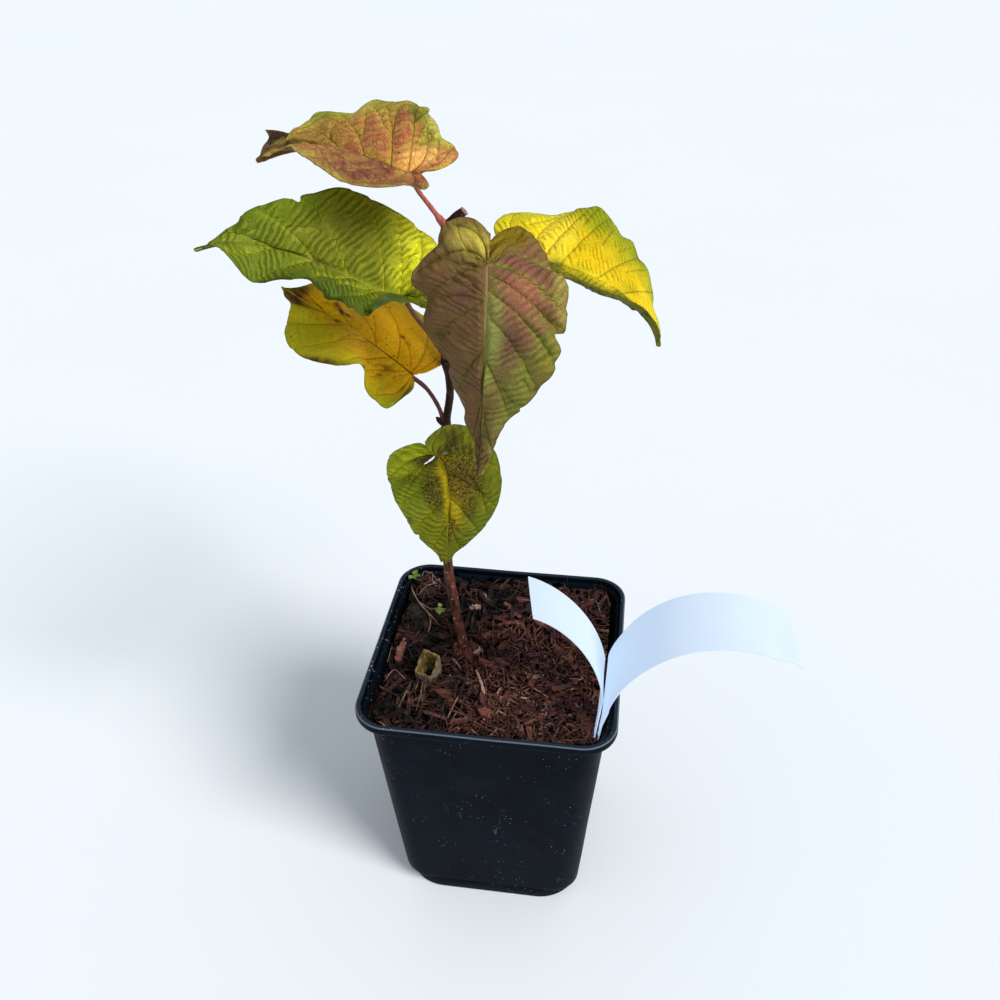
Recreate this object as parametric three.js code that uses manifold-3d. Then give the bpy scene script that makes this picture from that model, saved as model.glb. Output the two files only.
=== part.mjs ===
// An arctic kiwi in a square nursery pot: a woody shoot with six leaves, its soil and two blank plant labels.
// Millimetres, +Z up. The origin is the middle of the pot's base, and the pot's front faces -Y.
import * as THREE from "three";
import { mergeVertices } from "three/addons/utils/BufferGeometryUtils.js";
import Module from "manifold-3d";

const wasm = await Module();
wasm.setup();

// Driving dimensions
const rimHalf = 45;
const baseHalf = 33.6;
const wallTopHalf = 41;
const wallTop = 95;
const potHeight = 100;
const wallThickness = 1.2;
const floorThickness = 1.5;
const drainRadius = 3.2;
const drainPlace = 19;
const seatGap = 0.3;
const soilLevel = 94.8;
const soilSlope = 0.06;
const soilEdgeDip = 1.2;
const barkChips = 60;
const bladeThickness = 0.7;
const marginSteps = 30;
const marginTeeth = 15;
const crossSteps = 3;
const toothDepth = 0.05;
const labelThickness = 0.8;
const labelSteps = 12;

// The woody stem, from its root crown in the soil to the cut end beside the last leaf.
const stemRoute = [
  [-14.6, 1.6, 62], [-15.2, 1.6, 95], [-16.8, 3.6, 112], [-18.6, 4.1, 135], [-17.6, 4.2, 162],
  [-16.8, 4.3, 188], [-15, 4.6, 202], [-15.7, 4.5, 214], [-15, 4.6, 232], [-14.3, 4.7, 251],
  [-11.8, 5, 256], [-8.9, 5.5, 258.5],
];
// Heights on the stem with the radius there; the swellings are the joints that the leaves grow from.
const stemRadii = [
  [62, 1.2], [70, 2.1], [87, 2.4], [92, 2.9], [94.5, 3.1], [97, 2.3], [101, 1.9], [112, 1.9], [135, 1.8],
  [160, 1.6], [178, 1.5], [182, 2.1], [185, 1.7], [188, 2], [192, 1.4], [208, 1.3], [212, 2],
  [216, 1.4], [232, 1.2], [248, 1.3], [253, 2.1], [257, 1.6],
];
const stemEndRadius = 1.4;
const budLength = 3.4;
const budRadius = 1.2;
const budHeights = [[184, 60], [190, 200], [214.5, 20], [251, 100]];

// Each leaf: the petiole's route, the midrib's four Bezier points, and the way the upper face looks at the
// base and at the tip, as an azimuth from the front and an elevation. The pairs after them are for the left
// and the right half, seen from above with the tip ahead: the half's width, the notch beside the petiole as
// a share of it, the fold at the midrib, the further turn towards the margin, the slope of the basal lobe,
// and as shares of the length the lobe's reach behind the petiole and the place of the widest point.
// A bite is [side, place, spread, share taken off the width], a flare is [side, place, spread, added turn],
// with side -1 left and 1 right, and place running from 0 at the notch to 1 at the tip.
const leaves = {
  leaf_top: {
    petiole: [[-14.1, 4.7, 254], [-17.8, 3, 260], [-20.5, -1.5, 266.5]],
    midrib: [[-21, -6, 272], [-31, -7, 274], [-46, 4, 281], [-65, -1, 272]],
    face: [[-46, 53], [-6, 70]], half: [20.5, 20], notch: [0.24, 0.24], fold: [32, 5], turn: [2, -4],
    lobe: [10, 6], back: [0.13, 0.22], widest: [0.2, 0.18],
    bites: [[-1, 0.33, 0.05, 0.1], [1, 0.86, 0.035, -3], [-1, 0.8, 0.06, -0.2]],
    flares: [[1, 0.56, 0.05, 8], [-1, 0.45, 0.06, 6], [1, 0.88, 0.05, 300]],
    colour: "#b58a3c",
  },
  leaf_left: {
    petiole: [[-15.4, 4.6, 213], [-18, 0, 221], [-21.5, -8, 232]],
    midrib: [[-23, -15, 241], [-36, -13, 240], [-53, -20, 263], [-74, -30, 257]],
    face: [[-2, 68], [-66, -4]], half: [19, 23.5], notch: [0.24, 0.24], fold: [25, 17], turn: [10, -3],
    lobe: [9, 10], back: [0.18, 0.13], widest: [0.19, 0.18],
    bites: [[-1, 0.8, 0.1, -1], [1, 0.84, 0.06, 0.2], [1, 0.58, 0.04, 0.05]],
    flares: [[-1, 0.25, 0.08, 42], [-1, 0.55, 0.08, 68]],
    colour: "#7f9a2f",
  },
  leaf_yellow: {
    petiole: [[-16.8, 4.3, 187.5], [-18.5, 3.5, 196], [-21.5, 1, 204]],
    midrib: [[-25, -3, 211], [-44, 4, 222], [-42, -12, 230], [-62, -3, 237]],
    face: [[-2, 83], [-62, 34]], half: [24, 24], notch: [0.24, 0.24], fold: [11, 7], turn: [-4, -21],
    lobe: [6, 5], back: [0.1, 0.08], widest: [0.4, 0.19],
    bites: [[-1, 0.36, 0.07, 0.28], [-1, 0.88, 0.06, -0.6]],
    flares: [],
    colour: "#d9a414",
  },
  leaf_front: {
    petiole: [[-13.6, 4.8, 252.5], [-8, -4, 257], [-1, -17, 259.5]],
    midrib: [[3, -30, 257], [5, -43, 250], [1, -30, 224], [2, -38, 199]],
    face: [[30, 16], [-23, 11]], half: [19.5, 20], notch: [0.12, 0.14], fold: [15, -25], turn: [-9, -23],
    lobe: [9, -40], back: [0.23, 0.19], widest: [0.22, 0.2],
    bites: [[-1, 0.45, 0.05, -0.08], [1, 0.42, 0.05, 0.08], [-1, 0.3, 0.03, 0.06], [1, 0.72, 0.08, 0.1],
      [-1, 0.75, 0.08, 0.12]],
    flares: [[1, 0.3, 0.05, -12], [-1, 0.5, 0.06, 12]],
    colour: "#6f5a42",
  },
  leaf_small: {
    petiole: [[-16.9, 4.3, 183], [-17.4, -3, 189], [-17, -10, 192.5]],
    midrib: [[-16, -16, 191], [-11, -13, 184], [-11, -25, 170], [-14, -19, 154]],
    face: [[-13, 13], [15, 10]], half: [17.5, 19.5], notch: [0.1, 0.1], fold: [5, 6], turn: [-20, -14],
    lobe: [0, 17], back: [0.2, 0.17], widest: [0.17, 0.2],
    bites: [],
    flares: [],
    hole: { side: 1, margin: 0.31, across: 0.2, radii: [2.4, 1.3] },
    colour: "#7c8a26",
  },
  leaf_right: {
    petiole: [[-12.6, 4.9, 253], [-6, 3, 249], [5, -2, 249.5]],
    midrib: [[15, -7, 250], [25, -9, 248], [45, -7, 242], [48, 8, 219]],
    face: [[5, 73], [20, 51]], half: [27, 17], notch: [0.2, 0.2], fold: [1, 13], turn: [-6, 36],
    lobe: [8, 10], back: [0.33, 0.14], widest: [0.19, 0.19],
    bites: [[-1, 0.27, 0.04, 0.05], [-1, 0.64, 0.08, 0.06], [-1, 0.42, 0.06, -0.04]],
    flares: [[1, 0.18, 0.1, 62], [1, 0.7, 0.18, 65], [-1, 0.3, 0.05, -10]],
    colour: "#d8cf2a",
  },
};
const petioleRadius = 0.85;
const petioleFootRadius = 1.5;
const midribRadius = 0.7;

// Each label: the stake's centre line with its widths, then the strip's four Bezier points and the vector
// from its far edge to its near edge at the foot and at the free end.
const labels = {
  label_left: {
    stake: [[34.4, -29, 60, 1], [36, -30, 78, 4.5], [37.3, -31, 94, 5], [37.9, -30, 99, 6]],
    strip: [[38.8, -20, 108], [36.5, -19.5, 125], [25, -19.5, 138], [13.5, -18.5, 140]],
    across: [[0.4, -21, 1], [4, -20.6, 0]],
  },
  label_right: {
    stake: [[35.6, -29, 60, 1], [37.2, -30, 78, 4.5], [38.7, -31, 94, 5], [39.4, -30, 99, 6]],
    strip: [[40.5, -22, 107], [39.9, -24.5, 116], [56, -34.5, 165], [97, -26.5, 139]],
    across: [[1, -20.5, -4.7], [3.8, -19.9, -5.6]],
  },
};

const stubPlace = [-23, -12, 94];
const stubTurn = [0.5, -0.45, 0];
const stubRadius = 3.4;
const stubBore = 1.9;
const stubLength = 13;

// A seeded draw between low and high, the same on every run.
let seed = 20417;
function draw(low, high) {
  seed = (seed * 1103515245 + 12345) % 2147483648;
  return low + ((high - low) * seed) / 2147483648;
}

const vector = (p) => new THREE.Vector3(p[0], p[1], p[2]);
const radians = THREE.MathUtils.degToRad;

// A closed geometry as a manifold solid: shared vertices are merged and flattened triangles dropped.
function toSolid(geometry) {
  const bare = geometry.clone();
  bare.deleteAttribute("normal");
  bare.deleteAttribute("uv");
  const merged = mergeVertices(bare, 1e-4);
  const index = merged.index.array;
  const kept = [];
  for (let i = 0; i < index.length; i += 3) {
    const [a, b, c] = [index[i], index[i + 1], index[i + 2]];
    if (a !== b && b !== c && c !== a) kept.push(a, b, c);
  }
  return new wasm.Manifold(
    new wasm.Mesh({
      numProp: 3,
      vertProperties: merged.attributes.position.array,
      triVerts: new Uint32Array(kept),
    }),
  );
}

function toMesh(name, solid, colour, roughness) {
  const made = solid.getMesh();
  const geometry = new THREE.BufferGeometry();
  geometry.setAttribute("position", new THREE.BufferAttribute(new Float32Array(made.vertProperties), 3));
  geometry.setIndex(new THREE.BufferAttribute(new Uint32Array(made.triVerts), 1));
  const material = new THREE.MeshStandardMaterial({ color: colour, roughness, metalness: 0 });
  const mesh = new THREE.Mesh(geometry, material);
  mesh.name = name;
  return mesh;
}

// The soup of triangles as a geometry.
function soup(triangles) {
  const geometry = new THREE.BufferGeometry();
  const flat = triangles.flatMap((p) => [p.x, p.y, p.z]);
  geometry.setAttribute("position", new THREE.Float32BufferAttribute(flat, 3));
  return geometry;
}

// A lathe turned round the axis, bent along a curve: radii are [share of the curve's length, radius].
function limb(curve, radii, sides) {
  const frameSteps = 240;
  const frames = curve.computeFrenetFrames(frameSteps, false);
  const profile = [new THREE.Vector2(0, radii[0][0])];
  radii.forEach(([share, radius]) => profile.push(new THREE.Vector2(radius, share)));
  profile.push(new THREE.Vector2(0, radii[radii.length - 1][0]));
  const geometry = new THREE.LatheGeometry(profile, sides);
  const place = geometry.attributes.position;
  for (let i = 0; i < place.count; i++) {
    const share = THREE.MathUtils.clamp(place.getY(i), 0, 1);
    const k = Math.round(share * frameSteps);
    const p = curve.getPointAt(share);
    p.addScaledVector(frames.normals[k], place.getX(i));
    p.addScaledVector(frames.binormals[k], -place.getZ(i));
    place.setXYZ(i, p.x, p.y, p.z);
  }
  return toSolid(geometry);
}

// The square ring of a pot's section: half the side, the corner's radius and the height.
const cornerSteps = 5;
function squareRing([half, radius, z]) {
  const ring = [];
  for (let corner = 0; corner < 4; corner++) {
    for (let k = 0; k <= cornerSteps; k++) {
      const turn = (Math.PI / 2) * (corner + k / cornerSteps);
      const middle = (Math.PI / 2) * (corner + 0.5);
      const reach = (half - radius) * Math.SQRT2;
      ring.push(
        new THREE.Vector3(
          reach * Math.cos(middle) + radius * Math.cos(turn),
          reach * Math.sin(middle) + radius * Math.sin(turn),
          z,
        ),
      );
    }
  }
  return ring;
}

// Skins a row of rings; the first and the last are closed by fans to their middles.
function loft(rings) {
  const triangles = [];
  for (let r = 0; r + 1 < rings.length; r++) {
    const [low, high] = [rings[r], rings[r + 1]];
    for (let i = 0; i < low.length; i++) {
      const j = (i + 1) % low.length;
      triangles.push(low[i], low[j], high[j], low[i], high[j], high[i]);
    }
  }
  const ends = [rings[0], rings[rings.length - 1]];
  ends.forEach((ring, last) => {
    const middle = ring.reduce((sum, p) => sum.add(p), new THREE.Vector3()).divideScalar(ring.length);
    for (let i = 0; i < ring.length; i++) {
      const j = (i + 1) % ring.length;
      triangles.push(...(last ? [ring[i], ring[j], middle] : [ring[j], ring[i], middle]));
    }
  });
  return toSolid(soup(triangles));
}

// Half the outer side of the wall at a height: the wall widens evenly up to the rim.
function wallHalf(z) {
  return baseHalf + ((wallTopHalf - baseHalf) * z) / wallTop;
}

// The shell's section runs up the outside, out under the rolled rim, over it and down the inside. The rim
// is a thin lip that hangs clear of the wall, and the lower corners are cut back to a wider round.
function makePot() {
  const inner = (z) => wallHalf(z) - wallThickness;
  const lipTop = potHeight - 1.8;
  const lipFoot = potHeight - 4.4;
  const shell = loft([
    [baseHalf - 0.8, 13, 0], [baseHalf + 0.1, 12.5, 0.8], [wallHalf(5), 8, 5], [wallTopHalf, 9, wallTop],
    [wallTopHalf + 0.3, 9.3, lipTop], [rimHalf - 1.3, 11, lipTop], [rimHalf - 1.2, 11, lipFoot],
    [rimHalf - 0.1, 12, lipFoot], [rimHalf, 12, lipFoot + 0.7], [rimHalf, 12, potHeight - 1],
    [rimHalf - 0.7, 11.5, potHeight], [rimHalf - 3.4, 9.5, potHeight], [rimHalf - 4.4, 8.6, potHeight - 1],
    [inner(wallTop - 1), 8, wallTop - 1], [inner(6), 7, 6], [inner(2), 11, floorThickness],
  ].map(squareRing));
  const tools = [[1, 1], [1, -1], [-1, 1], [-1, -1]].map(([x, y]) => {
    const drill = new THREE.CylinderGeometry(drainRadius, drainRadius, 8, 12);
    drill.rotateX(Math.PI / 2);
    drill.translate(x * drainPlace, y * drainPlace, 0);
    return toSolid(drill);
  });
  return tools.reduce((pot, tool) => pot.subtract(tool), shell);
}

// Height of the soil: a slope up to the back, low waves and a slight dip along the walls.
function soilHeight(x, y) {
  const longWaves = 0.7 * Math.sin(0.17 * x + 0.9) * Math.cos(0.15 * y - 0.4);
  const shortWaves = 0.5 * Math.sin(0.33 * x - 0.27 * y);
  const edge = Math.max(Math.abs(x), Math.abs(y)) / rimHalf;
  return soilLevel + soilSlope * y + longWaves + shortWaves - soilEdgeDip * edge ** 6;
}

// The soil fills the pot with the same taper, and its top is a nest of square rings set on the soil's height.
function soilBody() {
  const side = (z) => wallHalf(z) - wallThickness - seatGap;
  const shoulder = 90;
  const cornerRadius = 7.7;
  const rings = [
    squareRing([side(2.4) - 1.6, 9.5, floorThickness + seatGap]),
    squareRing([side(7), 6.7, 7]),
    squareRing([side(shoulder), cornerRadius, shoulder]),
  ];
  const topSteps = 9;
  for (let k = 0; k < topSteps; k++) {
    const share = 1 - k / topSteps;
    const ring = squareRing([side(shoulder) * share, cornerRadius * share, 0]);
    rings.push(ring.map((p) => p.setZ(soilHeight(p.x, p.y))));
  }
  return loft(rings);
}

// A bark chip: a slim wedge box lying on the soil and sunk by half its height.
function barkChip(x, y, length, width, height, heading, tilt) {
  const chip = new THREE.BoxGeometry(length, width, height);
  const place = chip.attributes.position;
  for (let i = 0; i < place.count; i++) {
    if (place.getX(i) > 0) place.setY(i, place.getY(i) * 0.45);
  }
  chip.rotateY(tilt);
  chip.rotateZ(heading);
  chip.translate(x, y, soilHeight(x, y) + height * 0.1);
  return toSolid(chip);
}

// The soil with its bark: two long strips by hand, the rest drawn at random.
function makeSoil(holes) {
  let soil = soilBody();
  const chips = [barkChip(33, -20, 19, 4.6, 2.4, -1.15, 0.05), barkChip(-31, 6, 12, 3, 2, 1.2, 0.1)];
  const reach = 33;
  for (let i = 0; i < barkChips; i++) {
    const place = [draw(-reach, reach), draw(-reach, reach)];
    chips.push(
      barkChip(...place, draw(4, 11), draw(1.6, 3.4), draw(1.2, 2.2), draw(0, Math.PI), draw(-0.3, 0.3)),
    );
  }
  chips.forEach((chip) => (soil = soil.add(chip)));
  holes.forEach((hole) => (soil = soil.subtract(hole)));
  return largestBody(soil);
}

// A cut can leave crumbs behind: only the largest body stays.
function largestBody(solid) {
  return solid.decompose().reduce((best, body) => (body.volume() > best.volume() ? body : best));
}

const stemCurve = new THREE.CatmullRomCurve3(stemRoute.map(vector), false, "centripetal");

// The share of the stem's length at which it reaches a height.
function stemShare(height) {
  const steps = 600;
  for (let k = 0; k <= steps; k++) {
    if (stemCurve.getPointAt(k / steps).z >= height) return k / steps;
  }
  return 1;
}

// The bare stem, its radii grown by growth: a grown stem is the seat that the other pieces are cut with.
function stemLimb(growth) {
  const radii = stemRadii.map(([height, radius]) => [stemShare(height), radius + growth]);
  return limb(stemCurve, [...radii, [1, stemEndRadius + growth]], 10);
}

// A pointed bud that leans up and out from a joint of the stem.
function stemBud([height, heading], growth) {
  const stand = 1.1;
  const bud = new THREE.ConeGeometry(budRadius + growth, budLength + 3 * growth, 6);
  bud.rotateX(Math.PI / 2);
  bud.rotateY(0.5);
  bud.rotateZ(radians(heading));
  const p = stemCurve.getPointAt(stemShare(height));
  const turn = radians(heading);
  bud.translate(p.x + stand * Math.cos(turn), p.y + stand * Math.sin(turn), p.z + 0.4 * budLength);
  return toSolid(bud);
}

function stemSolid(growth) {
  return budHeights.reduce((stem, bud) => stem.add(stemBud(bud, growth)), stemLimb(growth));
}

// The direction that an azimuth from the front and an elevation point to.
function direction([azimuth, elevation]) {
  const [a, e] = [radians(azimuth), radians(elevation)];
  return new THREE.Vector3(Math.sin(a) * Math.cos(e), -Math.cos(a) * Math.cos(e), Math.sin(e));
}

// Half a heart-shaped outline in shares of half width and length, from the notch round to the drip tip.
function halfOutline(notch, back, widest) {
  const forward = [[0.88, 0.27], [0.64, 0.52], [0.35, 0.73], [0.12, 0.87], [0.03, 0.95], [0, 1]];
  const points = [[0, 0], [notch, -0.9 * back], [0.62, -back], [0.92, -0.25 * back], [1, widest]];
  forward.forEach(([x, share]) => points.push([x, widest + (1 - widest) * share]));
  return new THREE.SplineCurve(points.map(([x, y]) => new THREE.Vector2(x, y)));
}

// Sums the bites or flares of one side at a place along the margin.
function sumAt(list, side, u) {
  const onSide = list.filter((item) => item[0] === side);
  const weight = (place, spread) => Math.exp(-(((u - place) / spread) ** 2));
  return onSide.reduce((sum, [, place, spread, amount]) => sum + amount * weight(place, spread), 0);
}

// The mean of cos and sin over a section whose angle grows evenly from start by growth.
function sectionMeans(start, growth) {
  if (Math.abs(growth) < 1e-4) return [Math.cos(start), Math.sin(start)];
  return [
    (Math.sin(start + growth) - Math.sin(start)) / growth,
    (Math.cos(start) - Math.cos(start + growth)) / growth,
  ];
}

// The blade as a function of u, along the margin from the notch to the tip, and v, from midrib to margin.
// Rows of equal u run as the side veins do: the first ones fan out from the notch, the others leave the
// midrib further and further on and bow towards the tip. The section folds at the midrib and curls on.
function bladeSurface(leaf) {
  const fanShare = 0.28;
  const midrib = new THREE.CubicBezierCurve3(...leaf.midrib.map(vector));
  const length = midrib.getLength();
  const outlines = [0, 1].map((k) => halfOutline(leaf.notch[k], leaf.back[k], leaf.widest[k]));
  const faces = leaf.face.map(direction);
  return (u, v, side) => {
    const k = side < 0 ? 0 : 1;
    const half = leaf.half[k];
    const edge = outlines[k].getPoint(u);
    const edgeX = Math.max(edge.x, 0) * half * (1 - sumAt(leaf.bites, side, u));
    const edgeY = edge.y * length;
    const ribY = Math.max((u - fanShare) / (1 - fanShare), 0) ** 1.25 * length;
    const x = edgeX * v;
    const bow = 0.1 * v * (1 - v) * Math.hypot(edgeX, edgeY - ribY) * Math.min(3 * u, 1);
    const y = ribY + (edgeY - ribY) * v - bow;
    const share = THREE.MathUtils.clamp(y / length, 0, 1);
    const point = midrib.getPointAt(share);
    const along = midrib.getTangentAt(share);
    const up = faces[0].clone().lerp(faces[1], share);
    up.addScaledVector(along, -up.dot(along)).normalize();
    const right = along.clone().cross(up);
    const behind = Math.min(y, 0);
    const slope = radians(leaf.lobe[k]);
    point.addScaledVector(along, behind * Math.cos(slope)).addScaledVector(up, behind * Math.sin(slope));
    const turn = radians(leaf.turn[k] + sumAt(leaf.flares, side, u)) * (x / half);
    const [level, rise] = sectionMeans(radians(leaf.fold[k]), turn);
    return point.addScaledVector(right, side * x * level).addScaledVector(up, x * rise);
  };
}

// The blade's solid: the surface's grid, with the margin notched into teeth, thickened to both sides alike.
function bladeSolid(surface) {
  const triangles = [];
  [-1, 1].forEach((side) => {
    const at = (i, j) => {
      const u = i / marginSteps;
      const pulse = 1 - Math.abs(2 * ((u * marginTeeth) % 1) - 1);
      const v = j / crossSteps;
      return surface(u, v * (1 - (j === crossSteps ? toothDepth * pulse : 0)), side);
    };
    for (let i = 0; i < marginSteps; i++) {
      for (let j = 0; j < crossSteps; j++) {
        const quad = [at(i, j), at(i + 1, j), at(i + 1, j + 1), at(i, j + 1)];
        const [a, b, c, d] = side > 0 ? quad : [quad[3], quad[2], quad[1], quad[0]];
        triangles.push(a, d, c, a, c, b);
      }
    }
  });
  return thicken(soup(triangles), bladeThickness / 2);
}

// Offsets an open sheet to both sides along its vertex normals and closes its rim.
function thicken(sheet, reach) {
  const merged = mergeVertices(sheet, 1e-3);
  const index = [];
  for (let i = 0; i < merged.index.count; i += 3) {
    const [a, b, c] = [0, 1, 2].map((k) => merged.index.getX(i + k));
    if (a !== b && b !== c && c !== a) index.push(a, b, c);
  }
  merged.setIndex(index);
  merged.computeVertexNormals();
  const { position, normal } = merged.attributes;
  const faces = [1, -1].map((way) =>
    Array.from({ length: position.count }, (_, i) =>
      new THREE.Vector3().fromBufferAttribute(position, i).addScaledVector(
        new THREE.Vector3().fromBufferAttribute(normal, i), way * reach),
    ),
  );
  const [top, bottom] = faces;
  const edges = new Set();
  const triangles = [];
  for (let i = 0; i < index.length; i += 3) {
    const [a, b, c] = index.slice(i, i + 3);
    triangles.push(top[a], top[b], top[c], bottom[a], bottom[c], bottom[b]);
    [[a, b], [b, c], [c, a]].forEach(([from, to]) => edges.add(from + "_" + to));
  }
  edges.forEach((edge) => {
    const [from, to] = edge.split("_").map(Number);
    if (edges.has(to + "_" + from)) return;
    triangles.push(top[to], top[from], bottom[from], top[to], bottom[from], bottom[to]);
  });
  return toSolid(soup(triangles));
}

// The petiole, round and thickened at its foot, runs on under the blade as its midrib.
function ribLimb(leaf) {
  const midrib = new THREE.CubicBezierCurve3(...leaf.midrib.map(vector));
  const faces = leaf.face.map(direction);
  const under = [0.02, 0.2, 0.4, 0.6, 0.8].map((share) => {
    const sink = share < 0.1 ? 0.7 : 0.5;
    const up = faces[0].clone().lerp(faces[1], share).normalize();
    return midrib.getPointAt(share).addScaledVector(up, -sink);
  });
  const petiole = leaf.petiole.map(vector);
  const curve = new THREE.CatmullRomCurve3([...petiole, ...under], false, "centripetal");
  const bladeStart = new THREE.CatmullRomCurve3([...petiole, under[0]]).getLength() / curve.getLength();
  const radii = [
    [0, petioleFootRadius], [0.18 * bladeStart, petioleRadius], [0.5 * bladeStart, petioleRadius * 0.9],
    [bladeStart, petioleRadius], [bladeStart + 0.12 * (1 - bladeStart), midribRadius],
    [0.5 + 0.5 * bladeStart, midribRadius * 0.8], [1, midribRadius * 0.45],
  ];
  return limb(curve, radii, 6);
}

// An elliptical drill through the blade where it is torn, its long axis pointing from midrib to margin.
function holeDrill(surface, { side, margin, across, radii }) {
  const step = 0.02;
  const depth = 6;
  const middle = surface(margin, across, side);
  const outward = surface(margin, across + step, side).sub(middle).normalize();
  const facing = surface(margin + step, across, side).sub(middle).cross(outward).normalize();
  const drill = new THREE.CylinderGeometry(1, 1, depth, 10);
  drill.scale(radii[0], 1, radii[1]);
  const basis = new THREE.Matrix4().makeBasis(outward, facing, outward.clone().cross(facing));
  drill.applyMatrix4(basis.setPosition(middle));
  return toSolid(drill);
}

// A whole leaf is one piece: blade and petiole, less the seat that leaves it clear of the stem.
function makeLeaf(leaf, stemSeat) {
  const surface = bladeSurface(leaf);
  let solid = bladeSolid(surface).add(ribLimb(leaf));
  if (leaf.hole) solid = solid.subtract(holeDrill(surface, leaf.hole));
  return largestBody(solid.subtract(stemSeat));
}

// A label: a narrow pointed stake that widens into a flat, bent strip, thickened by reach to each side.
function labelSolid({ stake, strip, across }, reach) {
  const [footAcross, endAcross] = across.map(vector);
  const rows = stake.map(([x, y, z, width]) => [vector([x, y, z]), vector([0, -width / 2, 0])]);
  const curve = new THREE.CubicBezierCurve3(...strip.map(vector));
  for (let k = 0; k <= labelSteps; k++) {
    const share = k / labelSteps;
    const half = footAcross.clone().lerp(endAcross, share).multiplyScalar(0.5);
    rows.push([curve.getPoint(share), half]);
  }
  const triangles = [];
  for (let k = 0; k + 1 < rows.length; k++) {
    const [[from, fromHalf], [to, toHalf]] = [rows[k], rows[k + 1]];
    const [a, b] = [from.clone().sub(fromHalf), from.clone().add(fromHalf)];
    const [d, c] = [to.clone().sub(toHalf), to.clone().add(toHalf)];
    triangles.push(a, b, c, a, c, d);
  }
  return thicken(soup(triangles), reach);
}

// A short hollow piece of old stem, leaning out of the soil; without a bore, the hole it stands in.
function stubSolid(radius, bore) {
  const foot = -4;
  const top = stubLength + foot;
  const profile = bore
    ? [[bore, foot], [radius * 0.9, foot], [radius, 1], [radius * 0.92, top], [bore, top], [bore, foot]]
    : [[0, foot - seatGap], [radius, foot - seatGap], [radius, top], [0, top]];
  const stub = new THREE.LatheGeometry(profile.map(([x, y]) => new THREE.Vector2(x, y)), 11);
  stub.rotateX(Math.PI / 2);
  stub.rotateX(stubTurn[0]);
  stub.rotateY(stubTurn[1]);
  stub.translate(...stubPlace);
  return toSolid(stub);
}

const potted = new THREE.Group();
const stemSeat = stemSolid(seatGap);
const holes = [
  stemSeat,
  stubSolid(stubRadius + seatGap, 0),
  ...Object.values(labels).map((label) => labelSolid(label, labelThickness / 2 + seatGap)),
];
potted.add(toMesh("pot", makePot(), "#1d232d", 0.45));
potted.add(toMesh("soil", makeSoil(holes), "#4a2a20", 0.95));
potted.add(toMesh("stem", stemSolid(0), "#4a2f26", 0.8));
potted.add(toMesh("wood_stub", stubSolid(stubRadius, stubBore), "#9a7648", 0.85));
Object.entries(leaves).forEach(([name, leaf]) => {
  potted.add(toMesh(name, makeLeaf(leaf, stemSeat), leaf.colour, 0.6));
});
Object.entries(labels).forEach(([name, label]) => {
  potted.add(toMesh(name, labelSolid(label, labelThickness / 2), "#e4eefa", 0.4));
});

export default potted;
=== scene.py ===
import math

import bpy
import numpy as np
from mathutils import Matrix, Vector


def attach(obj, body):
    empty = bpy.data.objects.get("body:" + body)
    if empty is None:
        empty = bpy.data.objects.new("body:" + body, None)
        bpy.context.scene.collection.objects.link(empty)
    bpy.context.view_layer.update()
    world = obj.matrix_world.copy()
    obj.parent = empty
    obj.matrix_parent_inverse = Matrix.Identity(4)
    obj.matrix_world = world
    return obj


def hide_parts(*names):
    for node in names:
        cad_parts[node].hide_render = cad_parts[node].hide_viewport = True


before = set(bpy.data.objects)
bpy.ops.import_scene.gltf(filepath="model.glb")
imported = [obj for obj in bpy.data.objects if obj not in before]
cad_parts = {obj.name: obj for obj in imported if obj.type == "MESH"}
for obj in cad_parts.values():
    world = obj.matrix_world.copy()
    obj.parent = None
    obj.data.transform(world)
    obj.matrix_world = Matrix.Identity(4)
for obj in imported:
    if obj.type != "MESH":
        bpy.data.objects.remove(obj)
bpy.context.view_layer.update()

mm = 0.001
weldStep = 2e-4  # mm within which two points of a grid are one
rng = np.random.default_rng(417)


# helpers for arrays of points, in mm
def unit(v):
    return v / np.maximum(np.linalg.norm(v, axis=-1, keepdims=True), 1e-9)


def direction(azimuth, elevation):
    # the way an azimuth from the front and an elevation point to
    a, e = math.radians(azimuth), math.radians(elevation)
    return np.array([math.sin(a) * math.cos(e), -math.cos(a) * math.cos(e), math.sin(e)])


def smoothStep(x, low, high):
    t = np.clip((x - low) / (high - low), 0, 1)
    return t * t * (3 - 2 * t)


def bell(x, middle, spread):
    return np.exp(-(((x - middle) / spread) ** 2))


def bezier(points, t):
    # a cubic curve from the first of four points to the last, pulled by the two between
    p = np.asarray(points, float)
    t = np.asarray(t, float)[..., None]
    s = 1 - t
    return s**3 * p[0] + 3 * s * s * t * p[1] + 3 * s * t * t * p[2] + t**3 * p[3]


def bezierSlope(points, t):
    p = np.asarray(points, float)
    t = np.asarray(t, float)[..., None]
    s = 1 - t
    return 3 * s * s * (p[1] - p[0]) + 6 * s * t * (p[2] - p[1]) + 3 * t * t * (p[3] - p[2])


def catmull(points, share):
    # a smooth curve through the points, with the end points repeated
    p = np.asarray(points, float)
    last = len(p) - 1
    place = np.clip(share, 0, 1) * last
    i = np.minimum(place.astype(int), last - 1)
    w = (place - i)[..., None]
    a, b, c, d = p[np.maximum(i - 1, 0)], p[i], p[i + 1], p[np.minimum(i + 2, last)]
    m, n = (c - a) / 2, (d - b) / 2
    return (2 * b - 2 * c + m + n) * w**3 + (-3 * b + 3 * c - 2 * m - n) * w**2 + m * w + b


def route(points, count):
    # a smooth path through the points, resampled to equal steps of length
    dense = catmull(points, np.linspace(0, 1, 60 * len(points)))
    run = np.r_[0, np.cumsum(np.linalg.norm(np.diff(dense, axis=0), axis=1))]
    at = np.linspace(0, run[-1], count)
    return np.stack([np.interp(at, run, dense[:, k]) for k in range(3)], 1)


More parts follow.
